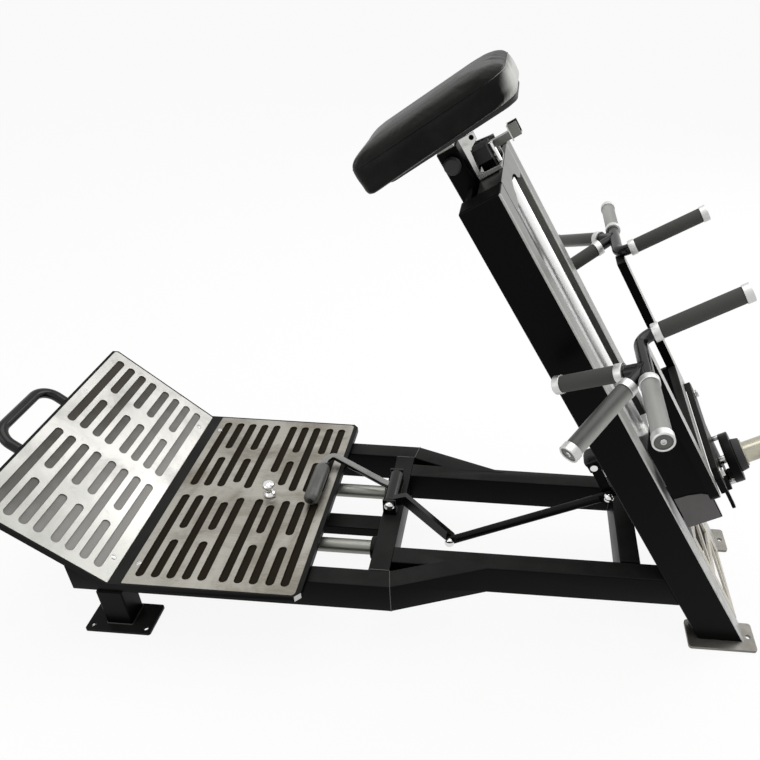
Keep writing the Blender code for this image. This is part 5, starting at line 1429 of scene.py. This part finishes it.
@dataclass
class Grip:
    """One rubber grip on a bar: where it starts and ends in the mast's t and y, on the near side."""

    name: str
    start: Pair
    end: Pair
    radius: float = 0.016
    collar_r: float = 0.0178
    collar: float = 0.015
    edge: float = 0.0015
    finish: Moulded = GRIP

    def build(self, group: SubAssembly, side: float, label: str, level: float) -> None:
        """Makes the rubber, the two collars, the end plug and its screw.

        Args:
            group: the handles, which the pieces are added to.
            side: -1.0 for the near half and 1.0 for the far one.
            label: the half's name.
            level: the bar's height along the mast.
        """
        foot = Vector((self.start[0], side * self.start[1], level))
        tip = Vector((self.end[0], side * self.end[1], level))
        length, way = (tip - foot).length, (tip - foot).normalized()
        bore, edge = BAR_R + 0.0003, self.edge
        low, high = self.collar + 0.0002, length - self.collar - 0.0002
        turns = arc(0.0, 0.5 * pi, 3)
        rubber = [(bore, low),
                  *((self.radius - edge * (1.0 - sin(a)), low + edge * (1.0 - cos(a))) for a in turns),
                  *((self.radius - edge * (1.0 - cos(a)), high - edge * (1.0 - sin(a))) for a in turns),
                  (bore, high)]
        inner = ring(bore, self.collar_r, 0.0, self.collar, 0.0009)
        outer = [(0.0142, length - self.collar), (self.collar_r - 0.0005, length - self.collar),
                 (self.collar_r, length - self.collar + 0.0006), (self.collar_r, length - 0.0012),
                 (self.collar_r - 0.0011, length), (0.0148, length), (0.0142, length - 0.0008)]
        name = f"{self.name}_grip_{label}"
        for part, profile, finish, nodes in (("rubber", rubber, self.finish, (name,)),
                                             ("inner_collar", inner, ALUMINIUM, ()),
                                             ("outer_collar", outer, ALUMINIUM, ())):
            group.add(f"{name}_{part}", Shape().turned(profile, foot, way, closed=True), finish, *nodes)
        plug = disc(0.0140, length - 0.0055, length - 0.0022, 0.0005)
        group.add(f"{name}_plug", Shape().turned(plug, foot, way), PLUG)
        screw = [(0.0, 0.0022), (0.0052, 0.0022), (0.0052, 0.0012), (0.0046, 0.0004), (0.0024, 0.0001),
                 (0.0024, 0.0014), (0.0, 0.0014)]
        screw = [(r, length - depth) for r, depth in screw]
        group.add(f"{name}_screw", Shape().turned(screw, foot, way, 30), BOLT)


@dataclass
class Handles(SubAssembly):
    """Bent handle bars with two welded branches each, and their grips."""

    level: float = 0.924
    t: float = 0.098
    y: float = 0.198
    tip: float = 0.006
    grips: tuple = (Grip("front", (0.125, 0.198), (0.306, 0.198)),
                    Grip("side", (0.098, 0.3375), (0.098, 0.5054), finish=SIDE_GRIP_REFLECTION),
                    Grip("inner", (0.061, 0.284), (-0.070, 0.234)),
                    Grip("outer", (0.065, 0.328), (-0.054, 0.450), finish=OUTER_GRIP_REFLECTION))

    def build(self) -> None:
        """Makes the group's pieces."""
        for side, label in SIDES:
            path = [(self.grips[0].end[0] - self.tip, side * self.y, self.level),
                    (self.t, side * self.y, self.level),
                    (self.t, side * (self.grips[1].end[1] - self.tip), self.level)]
            bar = Shape().sweep(circle(BAR_R, 32), fillet(path, 0.026, 12))
            joins, beads = [], Shape()
            for grip in self.grips[2:]:
                start = Vector((grip.start[0], side * grip.start[1], self.level))
                end = Vector((grip.end[0], side * grip.end[1], self.level))
                way = (end - start).normalized()
                origin = start + way * ((self.t - grip.start[0]) / way.x)
                joins.append(Shape().sweep(circle(BAR_R - 0.0004, 30), [origin, end - way * self.tip]))
                self.bead(beads, origin, way)
            self.add(f"handle_bar_{label}_bent", bar, GLOSS, f"handle_bar_{label}", joins=tuple(joins))
            self.add(f"branch_welds_{label}", beads, GLOSS)
            for grip in self.grips:
                grip.build(self, side, label, self.level)

    def bead(self, shape: Shape, origin: Vector, way: Vector) -> None:
        """Weld bead where a branch leaves the bar, which runs along y through the origin."""
        across = Vector(Z_WAY)
        side = way.cross(across).normalized()
        rings = []
        for a in arc(0.0, 2.0 * pi, 40)[:-1]:
            around = side * cos(a) + across * sin(a)
            start = origin + around * BAR_R
            x = start.x - self.t
            height = start.z - self.level
            reach = (max(BAR_R ** 2 - height ** 2, 0.0)) ** 0.5
            shift = (-reach - x) / way.x
            point = start + way * shift
            ripple = 0.0016 + 0.0004 * sin(14.0 * a)
            out = (around - way * 0.2).normalized()
            rings.append([point + out * ripple * cos(b) + way * ripple * sin(b)
                          for b in arc(0.0, 2.0 * pi, 8)[:-1]])
        shape.loft(rings, closed=True)


@dataclass
class ChestSupport(SubAssembly):
    """Cushion on its board and square post, and the pull pin in the sleeve."""

    span: Pair = (-0.144, 0.181)
    half: float = 0.117
    seam_lift: float = 0.0453
    pin: Triple = (-0.0775, -0.040, 1.324)
    voxel: float = 0.0045
    swell: float = 0.0028
    slip: float = 0.011
    sag: float = 0.008
    sag_from: float = -0.010
    sag_reach: float = 0.134
    sag_lift: float = 0.040
    pressure: float = 4.0
    stiffness: float = 25.0
    frames: int = 20
    held: Pair = (0.002, 0.012)
    welt_r: float = 0.0009

    def build(self) -> None:
        """Makes the group's pieces."""
        self.board()
        self.cushion()
        self.pull_pin()
        self.keep(POST_STEEL, "chest_post")

    def outline(self, shrink: float, steps: int = 14) -> list[Pair]:
        """Cushion's plan outline, drawn in by an even amount."""
        left, right = max(0.034 - shrink, 0.004), max(0.050 - shrink, 0.004)
        return rounded((self.span[0] + shrink, self.span[1] - shrink),
                       (shrink - self.half, self.half - shrink), [left, right, right, left], steps)

    def board(self) -> None:
        """Thin board under the cushion, which the post carries."""
        outline = rounded((self.span[0] + 0.034, self.span[1] - 0.022),
                          (-self.half + 0.026, self.half - 0.026), [0.020, 0.030, 0.030, 0.020], 10)
        self.add("pad_board", Shape().prism(outline, -0.010 - GAP, -GAP, Across.Z), PLASTIC, "chest_board",
                 bevel=0.003, segments=4)

    def cushion(self) -> None:
        """Padded vinyl cushion: full sides, tight shoulder, crowned top, and the welt round its seam."""
        rows = [(0.0125, 0.0), (0.0060, 0.0012), (0.0026, 0.0050), (0.0010, 0.0120), (0.0, 0.0220),
                (0.0004, 0.0330), (0.0022, 0.0425), (0.0040, 0.0453), (0.0046, 0.0480), (0.0072, 0.0512),
                (0.0120, 0.0540), (0.0210, 0.0575), (0.038, 0.0615), (0.062, 0.0650), (0.090, 0.0668)]
        rings = [[self.lie(x, y, lift) for x, y in self.outline(shrink)] for shrink, lift in rows]
        made = self.add("chest_cushion", Shape().loft(rings), VINYL, "chest_pad")
        self.inflate(made)
        self.welt([self.sewn(made, self.lie(x, y, self.seam_lift)) for x, y in self.outline(0.0032)])

    def sewn(self, made: bpy.types.Object, point: Triple) -> Vector:
        """The spot of the cushion's cover that lies closest to a point of its seam."""
        _, spot, _, _ = made.closest_point_on_mesh(self.place.pad @ Vector(point))
        return self.place.pad.inverted() @ spot

    def lie(self, x: float, y: float, lift: float) -> Triple:
        """Where a point of the cushion lies: slipped along its board, and sagging under its low end."""
        share = min(max((self.sag_from - x) / self.sag_reach, 0.0), 1.0)
        sag = self.sag * share * max(1.0 - lift / self.sag_lift, 0.0)
        return (x - self.slip, y, lift - sag)

    def inflate(self, made: bpy.types.Object) -> None:
        """Blows the cushion's cover up a little with a cloth simulation, and bakes the result.

        Args:
            made: the cushion, which keeps its flat foot and stays within a few millimetres of its shape.
        """
        modify(made, "REMESH", mode="VOXEL", voxel_size=self.voxel, use_smooth_shade=True)
        freeze(made)
        start = [vertex.co.copy() for vertex in made.data.vertices]
        cover = made.modifiers.new("cover", "CLOTH")
        cover.settings.use_pressure = True
        cover.settings.uniform_pressure_force = self.pressure
        cover.settings.effector_weights.gravity = 0.0
        cover.settings.tension_stiffness = self.stiffness
        cover.settings.compression_stiffness = self.stiffness
        for index in range(1, self.frames + 1):
            bpy.context.scene.frame_set(index)
        freeze(made)
        into_pad = self.place.pad.inverted()
        for vertex, first in zip(made.data.vertices, start):
            low = (into_pad @ first).z
            move = vertex.co - first
            reach = self.swell * min(max((low - self.held[0]) / self.held[1], 0.0), 1.0)
            if move.length > reach:
                move *= reach / move.length
            vertex.co = first + move
        bpy.context.scene.frame_set(1)
        modify(made, "SUBSURF", levels=1, render_levels=1)
        freeze(made)
        made.data.shade_smooth()

    def welt(self, line: Sequence[Vector]) -> None:
        """Thin sewn roll along the cushion's seam."""
        rings, turns = [], arc(0.0, 2.0 * pi, 10)[:-1]
        for index, point in enumerate(line):
            way = (line[(index + 1) % len(line)] - line[index - 1]).normalized()
            out = way.cross(Vector(Z_WAY))
            rings.append([point + out * self.welt_r * cos(a) + Vector((0.0, 0.0, self.welt_r * sin(a)))
                          for a in turns])
        self.add("cushion_welt", Shape().loft(rings, closed=True), VINYL)

    def pull_pin(self) -> None:
        """Spring pin with a black knob."""
        profile = [(0.0, -0.0032), (0.0035, -0.0032), (0.005, -0.0017), (0.005, 0.0013), (0.008, 0.0013),
                   (0.008, 0.006), (0.0145, 0.0075), (0.0157, 0.0090), (0.016, 0.0105), (0.016, 0.0165),
                   (0.0152, 0.0188), (0.0130, 0.0207), (0.0, 0.0215)]
        self.add("chest_pin_knob", Shape().turned(profile, self.pin, (0.0, -1.0, 0.0)), PLASTIC, "chest_pin",
                 place=self.place.mast, body=Body.CHEST_PIN)


@dataclass
class Linkage(SubAssembly):
    """Pedal on its bracket, with roller, crank, push rod and the latch behind the mast."""

    hub: Pair = (0.080, 0.235)
    hub_y: Pair = (-0.020, 0.095)
    joint_b: Pair = (0.233, 0.126)
    joint_c: Pair = (0.619, 0.315)
    link_y: Pair = (-0.0195, -0.0095)
    eye_y: Pair = (-0.0295, -0.0200)
    roller: Pair = (-0.118, 0.2435)
    roller_r: float = 0.019
    roller_y: Pair = (-0.037, 0.100)
    latch_t: float = -0.145
    latch_s: float = 0.554
    wall: float = 0.006
    strap: float = 0.012
    bolt_r: float = 0.0125

    def build(self) -> None:
        """Makes the group's pieces."""
        self.bracket()
        self.lever()
        self.rod()
        self.latch()

    def bolt(self) -> list[Pair]:
        """Profile of a joint bolt with a domed head and a nut."""
        head, nut = self.eye_y[0] - GAP, self.link_y[1]
        dome = [(self.bolt_r * sin(a), head - 0.004 - 0.008 * cos(a)) for a in arc(0.0, 0.5 * pi, 8)[1:]]
        return [(0.0, head - 0.012), *dome, (self.bolt_r, head), (0.005, head), (0.005, nut + 0.0005),
                (0.0085, nut + 0.0005), (0.0085, nut + 0.006), (0.0, nut + 0.006)]

    def bracket(self) -> None:
        """Channel bracket on the cross tube, and the domed axle."""
        low, wall, (x, z) = BaseFrame.top + GAP, self.wall, self.hub
        near, far, top = self.hub_y[0] - GAP - wall, self.hub_y[1] + GAP + wall, z + 0.017
        outline = [(near, low), (far, low), (far, top), (far - wall, top), (far - wall, low + wall),
                   (near + wall, low + wall), (near + wall, top), (near, top)]
        bore = Shape().turned(disc(0.0083, -0.2, 0.2), (x, 0.0, z), Y_WAY, 32)
        self.add("pedal_channel", Shape().prism(outline, 0.063, x + 0.017, Across.X), GLOSS, "pedal_bracket",
                 cuts=(bore,), bevel=0.001)
        dome = [(0.013 * sin(a), 0.007 * (1.0 - cos(a))) for a in arc(0.0, 0.5 * pi, 8)]
        axle = [(r, near - 0.010 + h) for r, h in dome] + [(0.013, near - GAP), (0.008, near - GAP),
                                                           (0.008, far + GAP), (0.013, far + GAP)]
        axle += [(r, far + 0.009 - h) for r, h in dome[::-1]]
        self.add("pedal_axle_chrome", Shape().turned(axle, (x, 0.0, z), Y_WAY, 40), CHROME, "pedal_axle")

    def lever(self) -> None:
        """Hub with the flat crank, the bent square arm and its stub, the roller and the crank's bolt."""
        place = self.place.pivot(*self.hub)
        hx, hz = self.hub
        shape = Shape().turned(disc(0.0185, *self.hub_y, 0.004), ORIGIN, Y_WAY, 40)
        line = [(0.0, 0.002), (0.117 - hx, 0.249 - hz), (self.joint_b[0] - hx, self.joint_b[1] - hz)]
        crank = Shape().prism(strip(line, self.strap), self.link_y[0], self.link_y[1] + self.wall)
        rise, reach = self.roller[1] - hz, self.roller[0] - hx
        path = [(0.0, 0.040, 0.004), (-0.030, 0.052, rise), (-0.183, 0.148, rise), (reach, 0.120, rise),
                (reach, 0.106, rise)]
        arm = Shape().sweep(rounded((-0.0092, 0.0092), (-0.0076, 0.0076), 0.0050, 5), fillet(path, 0.014, 10))
        # The arm's upward faces carry a painted reflection.
        self.add("pedal_arm_bent", arm, GLOSS, place=place, body=Body.PEDAL, accents=((ARM_TOP_REFLECTION, Z_WAY, 0.5),))
        stub = Shape().turned(disc(0.006, self.roller_y[0] - 0.004, 0.112, 0.0006), (reach, 0.0, rise), Y_WAY,
                              24)
        bore = Shape().turned(disc(0.0083, -0.05, 0.15), ORIGIN, Y_WAY, 32)
        self.add("pedal_lever_welded", shape, GLOSS, "pedal_lever", place=place, body=Body.PEDAL,
                 joins=(crank, stub), cuts=(bore,), bevel=0.0016, segments=3)
        bolt = Shape().turned(self.bolt(), (line[2][0], 0.0, line[2][1]), Y_WAY, 36)
        self.add("crank_bolt_chrome", bolt, CHROME, place=place, body=Body.PEDAL)
        low, high = self.roller_y
        rim = [(0.0063, 0.0), (0.0100, 0.0), (0.0125, 0.0012), (0.0155, 0.0035), (0.0178, 0.0068),
               (self.roller_r, 0.011)]
        profile = [(r, low + depth) for r, depth in rim] + [(r, high - depth) for r, depth in rim[::-1]]
        self.add("pedal_roller_rubber", Shape().turned(profile, ORIGIN, Y_WAY, closed=True), ROLLER,
                 "pedal_roller", place=self.place.pivot(*self.roller), body=Body.ROLLER)

    def rod(self) -> None:
        """Round push rod with a flat eye at each end."""
        end = Vector((self.joint_c[0] - self.joint_b[0], 0.0, self.joint_c[1] - self.joint_b[1]))
        way, across = end.normalized(), Vector((0.0, 0.5 * sum(self.eye_y), 0.0))
        body = Shape().sweep(circle(0.011, 32), [way * 0.022 + across, end - way * 0.022 + across])
        eyes, holes = [], Shape()
        for foot, sign, bore in ((Vector(ORIGIN), 1.0, 0.0053), (end, -1.0, 0.0068)):
            far = foot + way * (0.036 * sign)
            eyes.append(Shape().prism(strip([(foot.x, foot.z), (far.x, far.z)], 0.0105), *self.eye_y))
            holes.turned(disc(bore, -0.05, 0.02), foot, Y_WAY, 28)
        self.add("push_rod_welded", body, BLACK, "push_rod", place=self.place.pivot(*self.joint_b),
                 body=Body.PUSH_ROD, joins=tuple(eyes), cuts=(holes,), bevel=0.0006, segments=2)

    def latch(self) -> None:
        """Bent latch lever with its bolt, and the rubber roller on its pivot."""
        ct, cs = Place.mast_axes(*self.joint_c)
        place = self.place.mast @ Matrix.Translation((self.latch_t, 0.0, self.latch_s))
        line = [(0.0, 0.0), (ct - self.latch_t, cs - self.latch_s),
                (-0.063 - self.latch_t, 0.444 - self.latch_s)]
        bore = Shape().turned(disc(0.0063, -0.05, 0.05), ORIGIN, Y_WAY, 32)
        self.add("latch_lever_cut", Shape().prism(strip(line, self.strap), *self.link_y), BLACK,
                 "latch_lever", place=place, body=Body.LATCH, cuts=(bore,), bevel=0.001)
        bolt = Shape().turned(self.bolt(), (line[1][0], 0.0, line[1][1]), Y_WAY, 36)
        self.add("latch_bolt_chrome", bolt, CHROME, place=place, body=Body.LATCH)
        low = self.link_y[1] + GAP
        roller = Shape().turned(ring(0.0063, 0.0225, low, low + 0.032, 0.005), ORIGIN, Y_WAY, 56, closed=True)
        self.add("latch_roller_rubber", roller, RUBBER, "latch_roller", place=place, body=Body.LATCH)


@dataclass
class Studio:
    """Pale floor, white surround, soft lamps and the camera."""

    focal: float = 34.093
    shift: Pair = (-0.12726, 0.0263)
    camera_at: Triple = (0.36061, -1.35756, 1.48069)
    camera_turn: Triple = (0.972660, -0.025250, 0.068613)
    ambient: float = 0.55
    floor_white: float = 0.90

    def build(self, place: Place) -> None:
        """Makes the surroundings."""
        self.floor()
        self.world()
        self.lamps()
        self.camera(place)

    def floor(self) -> None:
        """Pale floor that the machine stands on."""
        shape = Shape().block((-60.0, 60.0), (-60.0, 60.0), (-0.02, 0.0))
        made = shape.link("studio_floor")
        graph = ShaderGraph(bpy.data.materials.new("studio_floor"))
        made.data.materials.append(graph.dress(Base_Color=(0.93, 0.93, 0.925), Roughness=0.9,
                                               Specular_IOR_Level=0.1))
        white = graph.node("ShaderNodeEmission", {}, {"Color": WHITE, "Strength": 1.0})[0]
        graph.white_to_sight(white, "Material Output", self.floor_white)

    def world(self) -> None:
        """White surround with plain ambient light."""
        graph = ShaderGraph(bpy.data.worlds.new("studio"), "Background")
        bpy.context.scene.world = graph.dress(Strength=self.ambient, Color=WHITE)
        white = graph.node("ShaderNodeBackground", {}, {"Color": WHITE, "Strength": 1.0})[0]
        graph.white_to_sight(white, "World Output", 1.0)

    def lamps(self) -> None:
        """Soft panels overhead and to the sides."""
        for name, at, towards, size, power in (("overhead", (0.3, 0.4, 3.6), (0.0, 0.0, 0.2), 3.2, 62.0),
                                               ("far_right", (2.9, 2.2, 2.4), (0.1, 0.0, 0.5), 2.4, 48.0),
                                               ("near_left", (-2.6, -2.4, 2.2), (0.0, 0.0, 0.4), 2.4, 22.0)):
            light = bpy.data.lights.new(name, "AREA")
            light.size = size
            light.energy = power
            made = bpy.data.objects.new(name, light)
            made.location = at
            made.rotation_euler = (Vector(towards) - Vector(at)).to_track_quat("-Z", "Y").to_euler()
            bpy.context.scene.collection.objects.link(made)

    def camera(self, place: Place) -> None:
        """Camera at the photograph's viewpoint."""
        data = bpy.data.cameras.new("viewpoint")
        data.lens = self.focal
        data.sensor_width = 36.0
        data.shift_x, data.shift_y = self.shift
        made = bpy.data.objects.new("viewpoint", data)
        made.location = place.machine @ Vector(self.camera_at)
        made.rotation_euler = self.camera_turn
        bpy.context.scene.collection.objects.link(made)
        bpy.context.scene.camera = made


def main() -> None:
    """Builds the sub-assemblies in order, then the studio."""
    logging.basicConfig(level=logging.INFO, format="%(name)s %(message)s")
    bpy.context.scene.view_settings.view_transform = "Standard"
    place = Place()
    for group, home, body in ((BaseFrame, place.machine, Body.FRAME), (Mast, place.mast, Body.FRAME),
                              (FootPlatform, place.machine, Body.PLATFORM),
                              (Carriage, place.mast, Body.CARRIAGE), (Handles, place.mast, Body.CARRIAGE),
                              (ChestSupport, place.pad, Body.CHEST), (Linkage, place.machine, Body.FRAME)):
        LOG.info("building %s", group.__name__)
        group(place, home, body).build()
    Studio().build(place)
    bpy.context.view_layer.update()


if __name__ == "__main__":
    main()
